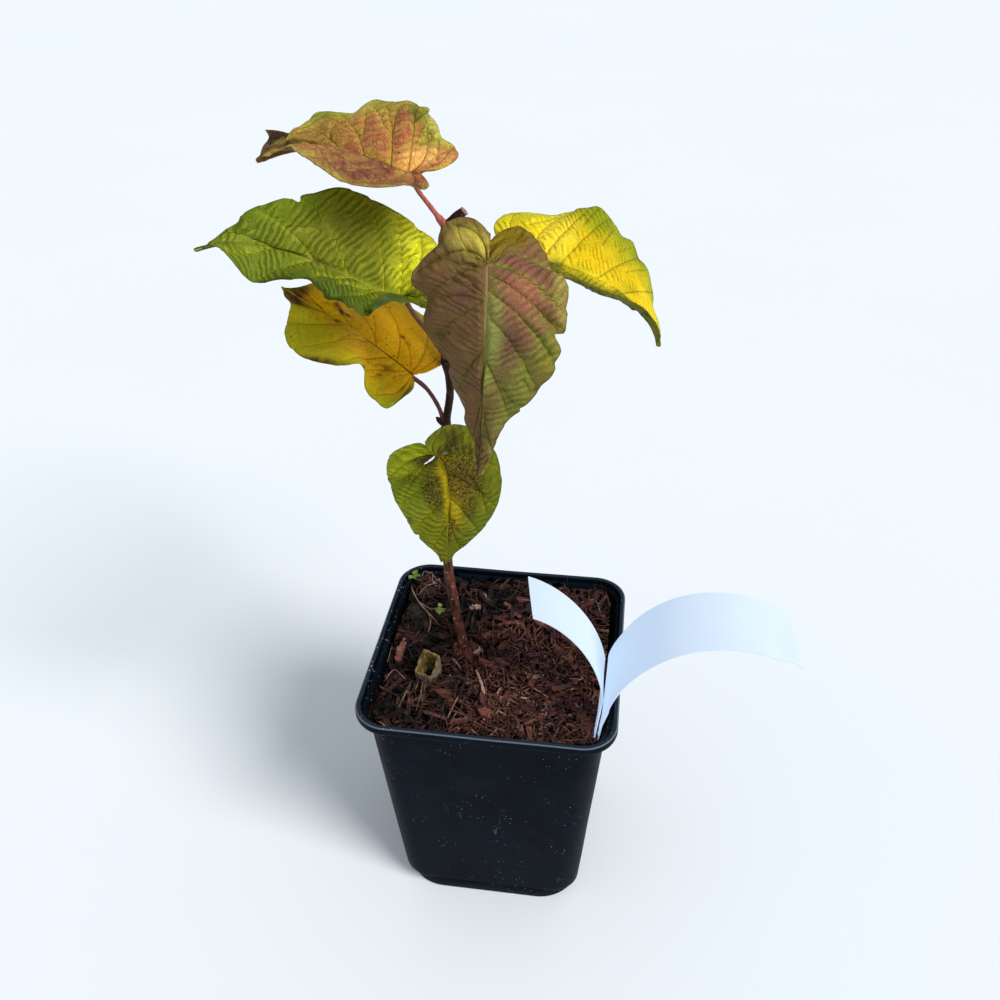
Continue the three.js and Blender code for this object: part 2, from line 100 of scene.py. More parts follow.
def softNoise(points, size, seed):
    # value noise: a random lattice of that cell size, blended smoothly, from -1 to 1
    side = 32  # cells before the lattice repeats
    table = np.random.default_rng(seed).uniform(-1, 1, (side, side, side))
    q = np.asarray(points, float) / size + 1000
    i = np.floor(q).astype(int)
    f = q - i
    f = f * f * (3 - 2 * f)
    total = 0
    for step in np.ndindex(2, 2, 2):
        value = table[tuple((i[..., k] + step[k]) % side for k in range(3))]
        for k in range(3):
            value = value * np.where(step[k], f[..., k], 1 - f[..., k])
        total = total + value
    return total


# meshes from grids
def gridQuads(rows, cols, closed=False, start=0):
    # the faces of a grid of points; closed joins the last column to the first
    i, j = np.meshgrid(np.arange(rows - 1), np.arange(cols if closed else cols - 1), indexing="ij")
    k = (j + 1) % cols
    corners = [i * cols + j, (i + 1) * cols + j, (i + 1) * cols + k, i * cols + k]
    return start + np.stack([c.ravel() for c in corners], 1)


def weld(points, quads):
    # merges equal points, splits quads in two and drops flat triangles; raw tells each corner's first point
    tris = np.vstack([quads[:, [0, 1, 2]], quads[:, [0, 2, 3]]])
    keys = np.round(points / weldStep).astype(np.int64)
    _, first, same = np.unique(keys, axis=0, return_index=True, return_inverse=True)
    same = same.reshape(-1)
    t = same[tris]
    keep = (t[:, 0] != t[:, 1]) & (t[:, 1] != t[:, 2]) & (t[:, 2] != t[:, 0])
    return points[first], t[keep], tris[keep]


def vertexNormals(points, tris):
    # the area-weighted mean of the normals of the triangles round each point
    a, b, c = (points[tris[:, k]] for k in range(3))
    n = np.cross(b - a, c - a)
    total = np.zeros_like(points)
    for k in range(3):
        for axis in range(3):
            total[:, axis] += np.bincount(tris[:, k], n[:, axis], len(points))
    return unit(total)


def makeMesh(name, points, tris, material, layers=None, smooth=True, sharp=None):
    # layers holds values for each triangle corner, one number or one colour each
    mesh = bpy.data.meshes.new(name)
    mesh.vertices.add(len(points))
    mesh.vertices.foreach_set("co", (points * mm).astype(np.float32).ravel())
    mesh.loops.add(tris.size)
    mesh.loops.foreach_set("vertex_index", tris.astype(np.int32).ravel())
    mesh.polygons.add(len(tris))
    mesh.polygons.foreach_set("loop_start", np.arange(0, tris.size, 3, dtype=np.int32))
    mesh.update(calc_edges=True)
    mesh.validate()
    mesh.polygons.foreach_set("use_smooth", np.full(len(tris), smooth))
    if sharp:
        mesh.set_sharp_from_angle(angle=math.radians(sharp))
    for key, values in (layers or {}).items():
        values = np.asarray(values, np.float32)
        if values.ndim == 2:
            layer = mesh.color_attributes.new(key, "FLOAT_COLOR", "CORNER")
            layer.data.foreach_set("color", values.ravel())
        else:
            mesh.attributes.new(key, "FLOAT", "CORNER").data.foreach_set("value", values)
    mesh.materials.append(material)
    made = bpy.data.objects.new(name, mesh)
    bpy.context.scene.collection.objects.link(made)
    return made


def place(piece, slotName, *nodes):
    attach(piece, "root")
    if nodes:
        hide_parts(*nodes)
    return piece


def gridPiece(name, points, quads, material, layers=None, **options):
    unique, tris, raw = weld(points, quads)
    corner = {key: np.asarray(values)[raw.ravel()] for key, values in (layers or {}).items()}
    return makeMesh(name, unique, tris, material, corner, **options)


def tube(path, radii, sides, relief=None, guide=(0, 1, 0)):
    # rings of the given radii round a path; ends of no radius close it
    slope = unit(np.gradient(path, axis=0))
    right = unit(np.cross(slope, np.asarray(guide, float)))
    up = np.cross(right, slope)
    turn = np.linspace(0, 2 * math.pi, sides, endpoint=False)
    grown = np.repeat(np.asarray(radii, float)[:, None], sides, 1)
    if relief is not None:
        grown = grown + np.where(grown > 0, relief, 0)
    ring = np.cos(turn)[None, :, None] * right[:, None] + np.sin(turn)[None, :, None] * up[:, None]
    points = path[:, None] + grown[..., None] * ring
    return points.reshape(-1, 3), gridQuads(len(path), sides, True)[:, ::-1]


def joinParts(parts):
    # the points and the faces of several parts in one, the faces counted on from part to part
    points, faces = zip(*parts)
    starts = np.cumsum([0] + [len(p) for p in points[:-1]])
    return np.vstack(points), np.vstack([f + start for f, start in zip(faces, starts)])


# shader helpers
def linear(hexColour):
    # sRGB hex to the linear colour that a shader takes
    values = [int(hexColour[i:i + 2], 16) / 255 for i in (1, 3, 5)]
    return tuple(v / 12.92 if v <= 0.04045 else ((v + 0.055) / 1.055) ** 2.4 for v in values) + (1.0,)


def node(tree, kind, inputs=None, **settings):
    made = tree.nodes.new(kind)
    for key, value in settings.items():
        setattr(made, key, value)
    for key, value in (inputs or {}).items():
        if isinstance(value, bpy.types.NodeSocket):
            tree.links.new(value, made.inputs[key])
        else:
            made.inputs[key].default_value = value
    return made


def calc(tree, operation, a, b=0.0, clamp=False):
    return node(tree, "ShaderNodeMath", {0: a, 1: b}, operation=operation, use_clamp=clamp).outputs[0]


def times(tree, a, b):
    return calc(tree, "MULTIPLY", a, b)


def highest(tree, first, *others):
    for other in others:
        first = calc(tree, "MAXIMUM", first, other)
    return first


def toWhole(tree, value):
    # how far a number is from the nearest whole one
    return calc(tree, "ABSOLUTE", calc(tree, "SUBTRACT", value, calc(tree, "ROUND", value)))


def between(tree, value, low, high, toLow=0.0, toHigh=1.0):
    # 0 to 1, or toLow to toHigh, as the value runs from low to high, with soft ends
    inputs = {"Value": value, "From Min": low, "From Max": high, "To Min": toLow, "To Max": toHigh}
    return node(tree, "ShaderNodeMapRange", inputs, interpolation_type="SMOOTHSTEP").outputs[0]


def blendColour(tree, share, a, b, mode="MIX"):
    made = node(tree, "ShaderNodeMix", {0: share, 6: a, 7: b}, data_type="RGBA", blend_type=mode)
    return made.outputs[2]


def over(tree, share, shade, hexColour):
    # lays a share of one colour over a shade
    return blendColour(tree, share, shade, linear(hexColour))


def twoTone(tree, value, low, high, dark, light):
    # from one colour to the other as the value runs from low to high
    return blendColour(tree, between(tree, value, low, high), linear(dark), linear(light))


def stretched(tree, where, scale, turn=(0, 0, 0)):
    # the place on the object in a frame of its own scale, for grain that runs one way
    inputs = {"Vector": where, "Scale": scale, "Rotation": turn}
    return node(tree, "ShaderNodeMapping", inputs).outputs[0]


def axes(tree, where):
    return node(tree, "ShaderNodeSeparateXYZ", {0: where}).outputs


def noise(tree, where, scale, detail=3.0, rough=0.55, distortion=0.0):
    inputs = {"Vector": where, "Scale": scale, "Detail": detail, "Roughness": rough, "Distortion": distortion}
    return node(tree, "ShaderNodeTexNoise", inputs).outputs["Fac"]


def cells(tree, where, scale, feature="F1"):
    made = node(tree, "ShaderNodeTexVoronoi", {"Vector": where, "Scale": scale}, feature=feature)
    return made.outputs["Distance"]


def attribute(tree, name, output="Fac"):
    return node(tree, "ShaderNodeAttribute", attribute_name=name).outputs[output]


def newMaterial(name):
    # an empty principled material, the place on the object, and the shader
    made = bpy.data.materials.new(name)
    made.use_nodes = True
    tree = made.node_tree
    where = node(tree, "ShaderNodeTexCoord").outputs["Object"]
    return made, tree, where, tree.nodes["Principled BSDF"]


def coat(tree, shader, shade, rough, specular=None):
    # colour, roughness as a number or a socket, and the specular level if one is given
    tree.links.new(shade, shader.inputs["Base Color"])
    if isinstance(rough, bpy.types.NodeSocket):
        tree.links.new(rough, shader.inputs["Roughness"])
    else:
        shader.inputs["Roughness"].default_value = rough
    if specular is not None:
        shader.inputs["Specular IOR Level"].default_value = specular


def bump(tree, shader, height, strength, distance=0.0002):
    made = node(tree, "ShaderNodeBump", {"Height": height, "Strength": strength, "Distance": distance})
    tree.links.new(made.outputs[0], shader.inputs["Normal"])


# leaves
# A place on a blade is side, u and v: the side is -1 or 1, u runs from the notch to the tip and v from the
# midrib to the margin. Lengths are in mm and angles in degrees, and pairs are for the two sides.
# Shape: the petiole's points, the midrib's four control points, the way the blade faces at its base and tip,
# and for each side its half width, notch, fold, turn, lobe, back and widest place. bites narrow the blade,
# flares turn it, hems fold it over, scallops and lifts wave the margin outwards and upwards, teeth are their
# number and depth. The hole is a tear.
# Relief: ribs are the places of the side veins, forks the lines of their branches, puff and rungs the heights
# of the panels and of the ladder in them, pitch the ladder's step, lean its angle.
# Colour: ribShare is where the rib's colour gives way to the panel's, rimStart where the margin's begins, and
# dotGate the noise value above which there are dots. stains are [side, u, v, reach u, reach v, colour,
# strength] and specks the same without a colour.
leaves = {
    "leaf_top": dict(
        petiole=[(-14.1, 4.7, 254), (-17.8, 3, 260), (-20.5, -1.5, 266.5)],
        midrib=[(-21, -6, 272), (-31, -7, 274), (-46, 4, 281), (-65, -1, 272)],
        face=[(-46, 53), (-6, 70)], half=[20.5, 20], notch=[0.24, 0.24], fold=[32, 5], turn=[2, -4],
        lobe=[10, 6], back=[0.13, 0.22], widest=[0.2, 0.18],
        bites=[(-1, 0.33, 0.05, 0.1), (1, 0.863, 0.073, -7), (1, 0.735, 0.02, 0.63), (-1, 0.8, 0.06, -0.2)],
        flares=[(1, 0.56, 0.05, 8), (-1, 0.45, 0.06, 6)],
        scallops=[(1, 0.09, 0.03, 0.1), (1, 0.155, 0.03, -0.1), (1, 0.25, 0.025, 0.14),
                  (1, 0.32, 0.045, -0.11), (1, 0.38, 0.015, 0.03), (1, 0.5, 0.025, -0.06),
                  (1, 0.56, 0.025, 0.09), (1, 0.62, 0.025, -0.1), (1, 0.72, 0.03, 0.04),
                  (1, 0.8, 0.03, -0.1), (1, 0.86, 0.02, 0.12), (-1, 0.18, 0.06, 0.07),
                  (-1, 0.31, 0.03, 0.06), (-1, 0.68, 0.07, 0.16)],
        lifts=[(1, 0.42, 0.03, 0.9), (1, 0.56, 0.03, -1.1), (1, 0.7, 0.04, 0.8), (1, 0.25, 0.03, 0.8)],
        ribs=[[0.1, 0.2, 0.3, 0.4, 0.5, 0.62, 0.74], [0.1, 0.2, 0.305, 0.41, 0.55, 0.665, 0.77]],
        puff=1.2, rungs=0.2, pitch=2.4, teeth=(22, 0.02), ribShare=(0.1, 0.7), rimStart=0.7,
        panel="#b06848", rib="#c89c48", margin="#d2c656", under="#5d4a20", mid="#6e3f22",
        veinTone=(0.42, 0.36, 0.4), veinDark=0.85, rungShading=0.2, rungDark=0.5, net=0.55,
        lean=52, dotGate=0.56, rimTone="#7d5a22",
        forks=[
            (1, (0.45, 0.49), (0.48, 0.58), (0.49, 0.68), (0.51, 0.9)),
            (1, (0.45, 0.5), (0.45, 0.73), (0.44, 0.92)),
            (1, (0.56, 0.4), (0.58, 0.46), (0.6, 0.6), (0.61, 0.73), (0.63, 0.85)),
            (1, (0.55, 0.41), (0.54, 0.58), (0.53, 0.85)),
            (1, (0.31, 0.51), (0.29, 0.64), (0.28, 0.76), (0.3, 0.79), (0.32, 0.71)),
            (1, (0.67, 0.3), (0.65, 0.5), (0.62, 0.62)), (1, (0.19, 0.55), (0.23, 0.68), (0.26, 0.9)),
            (1, (0.21, 0.6), (0.2, 0.8), (0.2, 0.96)), (1, (0.39, 0.71), (0.37, 0.83), (0.35, 0.94)),
            (-1, (0.43, 0.64), (0.4, 0.78), (0.38, 0.98)), (-1, (0.51, 0.39), (0.56, 0.4), (0.6, 0.55)),
            (-1, (0.42, 0.55), (0.44, 0.72), (0.5, 0.78)),
        ],
        stains=[
            (1, 0.13, 0.7, 0.1, 0.4, "#d8a24c", 0.75), (1, 0.17, 0.5, 0.06, 0.2, "#b0644e", 0.7),
            (1, 0.16, 1.0, 0.05, 0.1, "#a94c3e", 0.8), (-1, 0.08, 0.9, 0.1, 0.5, "#94483e", 0.97),
            (1, 0.28, 0.75, 0.06, 0.35, "#a3a032", 0.85), (1, 0.38, 0.88, 0.035, 0.12, "#3a2f14", 0.95),
            (1, 0.34, 0.95, 0.07, 0.2, "#7f8a26", 0.7), (1, 0.61, 1.0, 0.05, 0.25, "#7f9c26", 0.85),
            (1, 0.49, 1.0, 0.05, 0.2, "#8d8f2c", 0.7), (1, 0.74, 0.5, 0.15, 0.6, "#9b8634", 0.65),
            (1, 0.78, 0.35, 0.014, 0.09, "#33200f", 0.95), (1, 0.86, 0.7, 0.05, 0.6, "#5a3c20", 0.95),
            (-1, 0.4, 0.45, 0.2, 0.7, "#7e443e", 0.85), (-1, 0.32, 0.3, 0.04, 0.4, "#c08a4c", 0.8),
            (-1, 0.5, 0.2, 0.03, 0.5, "#b88a50", 0.7), (-1, 0.7, 0.5, 0.1, 0.7, "#a8784a", 0.6),
            (1, 0.3, 0.1, 0.1, 0.25, "#ffb864", 0.95), (1, 0.97, 0.5, 0.05, 1, "#3e4a1c", 0.9),
            (-1, 0.93, 0.5, 0.07, 1, "#4a3a1c", 0.9), (-1, 0.24, 0.9, 0.06, 0.2, "#5a481c", 0.7),
            (1, 0.24, 0.4, 0.07, 0.28, "#ffc474", 0.9), (1, 0.29, 0.95, 0.06, 0.18, "#d2ca68", 0.75),
            (1, 0.86, 0.6, 0.075, 0.9, "#3a2214", 0.96), (1, 0.17, 0.75, 0.04, 0.2, "#d88c66", 0.7),
        ],
    ),
    "leaf_left": dict(
        petiole=[(-15.4, 4.6, 213), (-18, 0, 221), (-21.5, -8, 232)],
        midrib=[(-23, -15, 241), (-36, -13, 240), (-53, -20, 263), (-74, -30, 257)],
        face=[(-2, 68), (-66, -4)], half=[19, 23.5], notch=[0.05, 0.05], fold=[25, 17], turn=[10, -3],
        lobe=[9, 10], back=[0.18, 0.13], widest=[0.19, 0.18],
        bites=[(-1, 0.75, 0.08, -0.9), (1, 0.84, 0.06, 0.2), (1, 0.58, 0.04, 0.05), (1, 0.96, 0.05, 0.75),
               (-1, 0.95, 0.05, 0.8)],
        flares=[(-1, 0.25, 0.08, 42), (-1, 0.55, 0.08, 68)],
        scallops=[(-1, 0.4, 0.07, -0.08), (1, 0.3, 0.06, 0.04), (1, 0.52, 0.05, -0.05), (1, 0.6, 0.007, 0.09),
                  (1, 0.74, 0.03, 0.1), (1, 0.82, 0.03, -0.08), (-1, 0.3, 0.03, -0.05),
                  (-1, 0.38, 0.02, 0.06), (-1, 0.46, 0.03, -0.05), (-1, 0.54, 0.02, 0.05)],
        lifts=[(-1, 0.3, 0.025, 1.2), (-1, 0.37, 0.025, -1.3), (-1, 0.44, 0.025, 1.2),
               (-1, 0.51, 0.025, -1.0), (-1, 0.6, 0.03, 1.0), (-1, 0.335, 0.011, 1.2),
               (-1, 0.405, 0.011, 1.1), (-1, 0.475, 0.011, -1.1), (1, 0.45, 0.04, 0.7),
               (1, 0.6, 0.03, -0.7), (1, 0.7, 0.04, 0.7)],
        ribs=[[0.1, 0.2, 0.3, 0.41, 0.53, 0.66, 0.78], [0.1, 0.2, 0.31, 0.39, 0.54, 0.66, 0.78]],
        puff=1.1, rungs=0.36, pitch=1.75, teeth=(20, 0.022), ribShare=(0.02, 0.4), rimStart=0.8,
        panel="#6d781c", rib="#98a42c", margin="#626c12", under="#435a1c", mid="#98a23c",
        veinTone=(1.55, 1.42, 1.15), veinDark=0.85, rungShading=0.5, rungDark=0.2, net=0.25,
        lean=22, dotGate=0.6, rimTone="#33501a",
        forks=[
            (1, (0.39, 0.69), (0.39, 0.81), (0.4, 0.94)), (1, (0.44, 0.78), (0.46, 0.76), (0.48, 0.65)),
            (1, (0.59, 0.5), (0.6, 0.56), (0.64, 0.56)), (1, (0.58, 0.64), (0.56, 0.75), (0.55, 0.88)),
            (1, (0.51, 0.65), (0.5, 0.76), (0.51, 0.9)), (1, (0.33, 0.18), (0.29, 0.34), (0.24, 0.6)),
            (1, (0.35, 0.39), (0.32, 0.6), (0.31, 0.8)), (1, (0.73, 0.7), (0.78, 0.66), (0.82, 0.78)),
            (-1, (0.55, 0.31), (0.57, 0.5), (0.54, 0.8)),
            (-1, (0.44, 0.05), (0.47, 0.26), (0.51, 0.39), (0.5, 0.7)),
        ],
        stains=[
            (1, 0.27, 0.5, 0.13, 0.9, "#eaea38", 0.95), (1, 0.31, 0.35, 0.05, 0.4, "#ccd41c", 0.6),
            (-1, 0.24, 0.3, 0.14, 0.5, "#c6cc18", 0.85), (1, 0.55, 0.5, 0.16, 0.35, "#87822a", 0.55),
            # painted light: the stain of #7c7c08 at u 0.47 by the margin brightens the part in the shadow of
            # leaf_top
            (1, 0.45, 0.5, 0.06, 0.4, "#808420", 0.5), (1, 0.47, 1.0, 0.16, 0.3, "#7c7c08", 0.85),
            (1, 0.64, 0.95, 0.09, 0.3, "#647a16", 0.7), (-1, 0.5, 0.75, 0.2, 0.35, "#4c6020", 0.8),
            (1, 0.97, 0.5, 0.05, 1, "#2a3416", 0.9), (-1, 0.97, 0.5, 0.05, 1, "#2a3416", 0.9),
            (1, 0.8, 0.4, 0.12, 0.6, "#74842a", 0.7), (-1, 0.74, 0.6, 0.1, 0.5, "#6c7e26", 0.6),
            # painted light: the stain of #c4cc3c at u 0.08 brightens the lobe that faces down, away from the
            # light
            (-1, 0.08, 0.9, 0.1, 0.5, "#c4cc3c", 0.95), (-1, 0.58, 1.0, 0.09, 0.09, "#26280f", 0.85),
            (-1, 0.44, 0.97, 0.05, 0.1, "#2a3a12", 0.7), (-1, 0.4, 0.75, 0.08, 0.25, "#50681e", 0.7),
            (-1, 0.345, 0.97, 0.02, 0.1, "#28340f", 0.8), (-1, 0.47, 0.98, 0.02, 0.08, "#28340f", 0.8),
        ],
    ),
    "leaf_yellow": dict(
        petiole=[(-16.8, 4.3, 187.5), (-18.5, 3.5, 196), (-21.5, 1, 204)],
        midrib=[(-25, -3, 211), (-44, 4, 222), (-42, -12, 230), (-62, -3, 237)],
        face=[(-2, 83), (-62, 34)], half=[24, 24], notch=[0.24, 0.24], fold=[11, 7], turn=[-4, -21],
        lobe=[6, 5], back=[0.1, 0.08], widest=[0.4, 0.19],
        bites=[(-1, 0.36, 0.07, 0.28), (-1, 0.88, 0.06, -0.6)],
        flares=[],
        scallops=[(-1, 0.16, 0.05, 0.14), (-1, 0.34, 0.05, -0.1), (-1, 0.45, 0.02, 0.04),
                  (-1, 0.66, 0.06, -0.05), (-1, 0.8, 0.05, 0.1), (-1, 0.96, 0.03, -0.2),
                  (1, 0.09, 0.04, 0.12), (1, 0.16, 0.02, -0.1)],
        lifts=[(-1, 0.5, 0.03, -0.8), (-1, 0.62, 0.04, 0.9), (-1, 0.72, 0.03, -0.8), (1, 0.5, 0.05, 0.8)],
        ribs=[[0.1, 0.21, 0.33, 0.45, 0.58, 0.7, 0.82], [0.1, 0.2, 0.3, 0.42, 0.545, 0.68, 0.8]],
        puff=0.9, rungs=0.14, pitch=2.4, teeth=(20, 0.015), ribShare=(0.0, 0.5), rimStart=0.75,
        # painted light: panel and rib are brighter yellows than the leaf's own, standing in for light where
        # the leaves above shade it
        panel="#eeb206", rib="#f2ba0a", margin="#c8b010", under="#5f7a1c", mid="#4a1c12",
        veinTone=(0.66, 0.54, 0.8), veinDark=0.5, rungShading=0.06, rungDark=0.1, net=0.2,
        lean=24, dotGate=0.42, rimTone="#6a4a12",
        forks=[
            (1, (0.55, 0.0), (0.55, 0.16), (0.54, 0.33), (0.53, 0.55)),
            (1, (0.34, 0.06), (0.38, 0.2), (0.46, 0.46)), (-1, (0.38, 0.46), (0.37, 0.35), (0.4, 0.1)),
            (-1, (0.37, 0.36), (0.41, 0.31), (0.42, 0.44)),
            (-1, (0.3, 0.03), (0.33, 0.25), (0.33, 0.61), (0.33, 0.9)),
            (-1, (0.37, 0.36), (0.36, 0.64), (0.37, 0.8)), (1, (0.71, 0.16), (0.71, 0.4), (0.75, 0.55)),
            (-1, (0.62, 0.2), (0.62, 0.43), (0.59, 0.78)),
        ],
        stains=[
            (-1, 0.22, 0.95, 0.14, 0.4, "#848c12", 0.95), (-1, 0.36, 0.59, 0.008, 0.035, "#5a3a10", 0.8),
            (-1, 0.52, 1.0, 0.04, 0.08, "#1d130c", 0.95), (-1, 0.6, 1.0, 0.2, 0.3, "#a8a41c", 0.85),
            (-1, 0.84, 0.9, 0.1, 0.9, "#a0a01c", 0.85), (-1, 0.72, 0.7, 0.1, 0.5, "#ccac14", 0.7),
            (1, 0.685, 0.41, 0.022, 0.09, "#150c06", 1), (1, 0.655, 0.37, 0.016, 0.05, "#1a0e08", 1),
            (1, 0.7, 0.52, 0.02, 0.06, "#2a150a", 0.9), (1, 0.8, 0.31, 0.012, 0.06, "#1d0f08", 1),
            (-1, 0.73, 0.14, 0.014, 0.1, "#1d0f08", 1), (1, 0.89, 0.9, 0.055, 0.9, "#40241a", 0.98),
            (-1, 0.92, 0.95, 0.04, 0.6, "#45281a", 0.98), (1, 0.35, 0.7, 0.25, 0.6, "#d89c08", 0.75),
            (-1, 0.12, 1.0, 0.07, 0.2, "#5a3418", 0.95), (-1, 0.88, 0.6, 0.07, 0.5, "#40241a", 0.95),
            (1, 0.82, 0.97, 0.06, 0.3, "#4a2c1a", 0.95), (-1, 0.155, 0.85, 0.035, 0.45, "#6a3a1c", 0.85),
            (1, 0.44, 0.39, 0.01, 0.03, "#4a2408", 0.9), (1, 0.41, 0.33, 0.012, 0.03, "#5a2c08", 0.9),
            (-1, 0.38, 0.29, 0.03, 0.1, "#6a3c0c", 0.6), (1, 0.33, 0.15, 0.06, 0.3, "#f0a010", 0.6),
            # painted shadow: the stain of #a48008 at u 0.45 by the margin darkens the part under leaf_left
            (1, 0.45, 0.97, 0.15, 0.22, "#a48008", 0.8), (-1, 0.68, 0.8, 0.1, 0.35, "#ccc41c", 0.85),
            (1, 0.34, 0.36, 0.06, 0.25, "#ffc41c", 0.7), (-1, 0.54, 1.0, 0.04, 0.06, "#1d130c", 0.95),
            (-1, 0.86, 0.75, 0.065, 0.42, "#3e2418", 0.98), (1, 0.9, 0.75, 0.07, 0.6, "#40261a", 0.96),
            (-1, 0.43, 0.93, 0.02, 0.1, "#5a3414", 0.8), (-1, 0.46, 0.5, 0.012, 0.04, "#4a2810", 0.85),
        ],
    ),
    "leaf_front": dict(
        petiole=[(-13.6, 4.8, 252.5), (-8, -4, 257), (-1, -17, 259.5)],
        midrib=[(3, -30, 257), (5, -43, 250), (1, -30, 224), (2, -38, 199)],
        face=[(30, 16), (-23, 11)], half=[19.5, 20], notch=[0.12, 0.14], fold=[15, -25], turn=[-9, -23],
        lobe=[9, -40], back=[0.23, 0.19], widest=[0.22, 0.2],
        bites=[(-1, 0.45, 0.05, -0.08), (1, 0.42, 0.05, 0.08), (-1, 0.3, 0.03, 0.06), (1, 0.72, 0.08, 0.1),
               (-1, 0.75, 0.08, 0.12), (-1, 0.93, 0.045, -0.9), (1, 0.93, 0.045, -0.8),
               (-1, 0.84, 0.06, -0.7), (1, 0.84, 0.06, -0.6),
               (1, 0.555, 0.022, 0.2), (1, 0.66, 0.02, 0.2)],
        flares=[(1, 0.3, 0.05, -12), (-1, 0.5, 0.06, 12)],
        scallops=[(-1, 0.1, 0.028, 0.42), (1, 0.055, 0.02, -0.12), (1, 0.095, 0.025, 0.17),
                  (-1, 0.17, 0.015, -0.05), (-1, 0.36, 0.04, -0.05), (-1, 0.44, 0.01, 0.14),
                  (-1, 0.5, 0.02, -0.04), (-1, 0.66, 0.06, 0.1), (1, 0.12, 0.03, 0.1),
                  (1, 0.2, 0.03, -0.05), (1, 0.265, 0.018, 0.12), (1, 0.33, 0.03, -0.05),
                  (1, 0.41, 0.022, 0.06), (1, 0.47, 0.03, -0.05), (1, 0.56, 0.03, 0.05)],
        lifts=[(-1, 0.35, 0.03, 0.9), (-1, 0.44, 0.03, -1.2), (-1, 0.58, 0.04, 0.9), (1, 0.32, 0.03, 1.2),
               (1, 0.4, 0.03, -1.2), (1, 0.5, 0.04, 1.0), (-1, 0.2, 0.04, 0.8)],
        ribs=[[0.1, 0.2, 0.3, 0.35, 0.41, 0.49, 0.635, 0.78], [0.1, 0.2, 0.3, 0.44, 0.61, 0.76]],
        puff=2.0, rungs=0.24, pitch=1.8, teeth=(15, 0.05), ribShare=(0.12, 0.5), rimStart=0.75,
        panel="#7c5342", rib="#868438", margin="#756530", under="#727c3c", mid="#9a7c62",
        veinTone=(1.3, 1.3, 1.05), veinDark=0.8, rungShading=0.34, rungDark=0.3, net=0.3,
        lean=24, dotGate=0.62, rimTone="#4a3a1e",
        forks=[
            (-1, (0.38, 0.7), (0.37, 0.84), (0.36, 0.99)), (-1, (0.43, 0.56), (0.42, 0.76), (0.42, 0.98)),
            (-1, (0.52, 0.65), (0.5, 0.78), (0.47, 0.88)), (-1, (0.56, 0.76), (0.56, 0.9), (0.54, 0.98)),
            (-1, (0.63, 0.54), (0.62, 0.79), (0.6, 0.95)),
            (-1, (0.25, 0.0), (0.19, 0.35), (0.2, 0.65), (0.18, 0.95)),
            (1, (0.44, 0.01), (0.39, 0.26), (0.36, 0.45)), (1, (0.43, 0.03), (0.37, 0.23), (0.33, 0.42)),
            (1, (0.31, 0.0), (0.27, 0.21), (0.23, 0.53), (0.2, 0.82)),
            (1, (0.5, 0.59), (0.5, 0.79), (0.48, 0.95)),
            (1, (0.3, 0.01), (0.32, 0.25), (0.3, 0.62), (0.31, 0.95)),
            (1, (0.45, 0.02), (0.41, 0.33), (0.4, 0.65)),
        ],
        stains=[
            (1, 0.5, 0.5, 0.45, 1.2, "#63492e", 0.9), (1, 0.13, 0.4, 0.11, 0.5, "#c4b450", 0.95),
            (1, 0.24, 0.6, 0.06, 0.5, "#6b5a34", 0.6), (-1, 0.12, 0.6, 0.1, 0.75, "#78660a", 0.97),
            (-1, 0.36, 0.97, 0.05, 0.1, "#b0b04c", 0.85), (-1, 0.11, 1.0, 0.08, 0.15, "#5a4a1c", 0.8),
            (-1, 0.24, 0.7, 0.04, 0.4, "#7d5a48", 0.6), (-1, 0.72, 0.6, 0.2, 0.7, "#706636", 0.8),
            (-1, 0.47, 0.9, 0.04, 0.2, "#7a7e2a", 0.8), (-1, 0.38, 0.45, 0.035, 0.25, "#a66c54", 0.75),
            (-1, 0.425, 0.4, 0.02, 0.3, "#946250", 0.7), (-1, 0.38, 0.95, 0.04, 0.1, "#917c48", 0.8),
            (-1, 0.52, 0.35, 0.04, 0.25, "#64463a", 0.85), (1, 0.92, 0.5, 0.14, 1.4, "#4e3c20", 0.85),
            (-1, 0.93, 0.5, 0.09, 1.4, "#4c3e20", 0.85), (-1, 0.6, 0.1, 0.18, 0.2, "#868e46", 0.9),
            (-1, 0.6, 0.8, 0.1, 0.3, "#7c8236", 0.75), (1, 0.4, 0.35, 0.06, 0.2, "#5c3f36", 0.7),
            (1, 0.2, 0.45, 0.06, 0.3, "#b4a448", 0.8), (-1, 0.19, 0.72, 0.06, 0.35, "#78660a", 0.9),
            (1, 0.1, 0.95, 0.09, 0.2, "#5a4422", 0.7),
        ],
    ),
    "leaf_small": dict(
        petiole=[(-16.9, 4.3, 183), (-17.4, -3, 189), (-17, -10, 192.5)],
        midrib=[(-16, -16, 191), (-11, -13, 184), (-11, -25, 170), (-14, -18.8, 152.4)],
        face=[(-13, 13), (15, 10)], half=[17.5, 19.5], notch=[0.1, 0.1], fold=[5, 6], turn=[-20, -14],
        lobe=[0, 17], back=[0.2, 0.17], widest=[0.17, 0.2],
        bites=[], flares=[], hole=(1, 0.325, 0.17, 0.02, 0.15, 0.2),
        scallops=[(-1, 0.11, 0.03, 0.06), (-1, 0.67, 0.05, 0.04), (-1, 0.86, 0.05, -0.3),
                  (1, 0.04, 0.03, -0.1), (1, 0.17, 0.04, -0.08), (1, 0.64, 0.03, -0.04),
                  (1, 0.655, 0.006, 0.06), (1, 0.86, 0.05, -0.3)],
        lifts=[(1, 0.3, 0.04, 0.7), (1, 0.45, 0.04, -0.7), (-1, 0.4, 0.04, 0.7), (-1, 0.6, 0.04, -0.6)],
        ribs=[[0.1, 0.2, 0.32, 0.46, 0.6, 0.74], [0.1, 0.2, 0.33, 0.46, 0.6, 0.74]],
        puff=1.2, rungs=0.28, pitch=1.7, teeth=(16, 0.022), ribShare=(0.0, 0.5), rimStart=0.8,
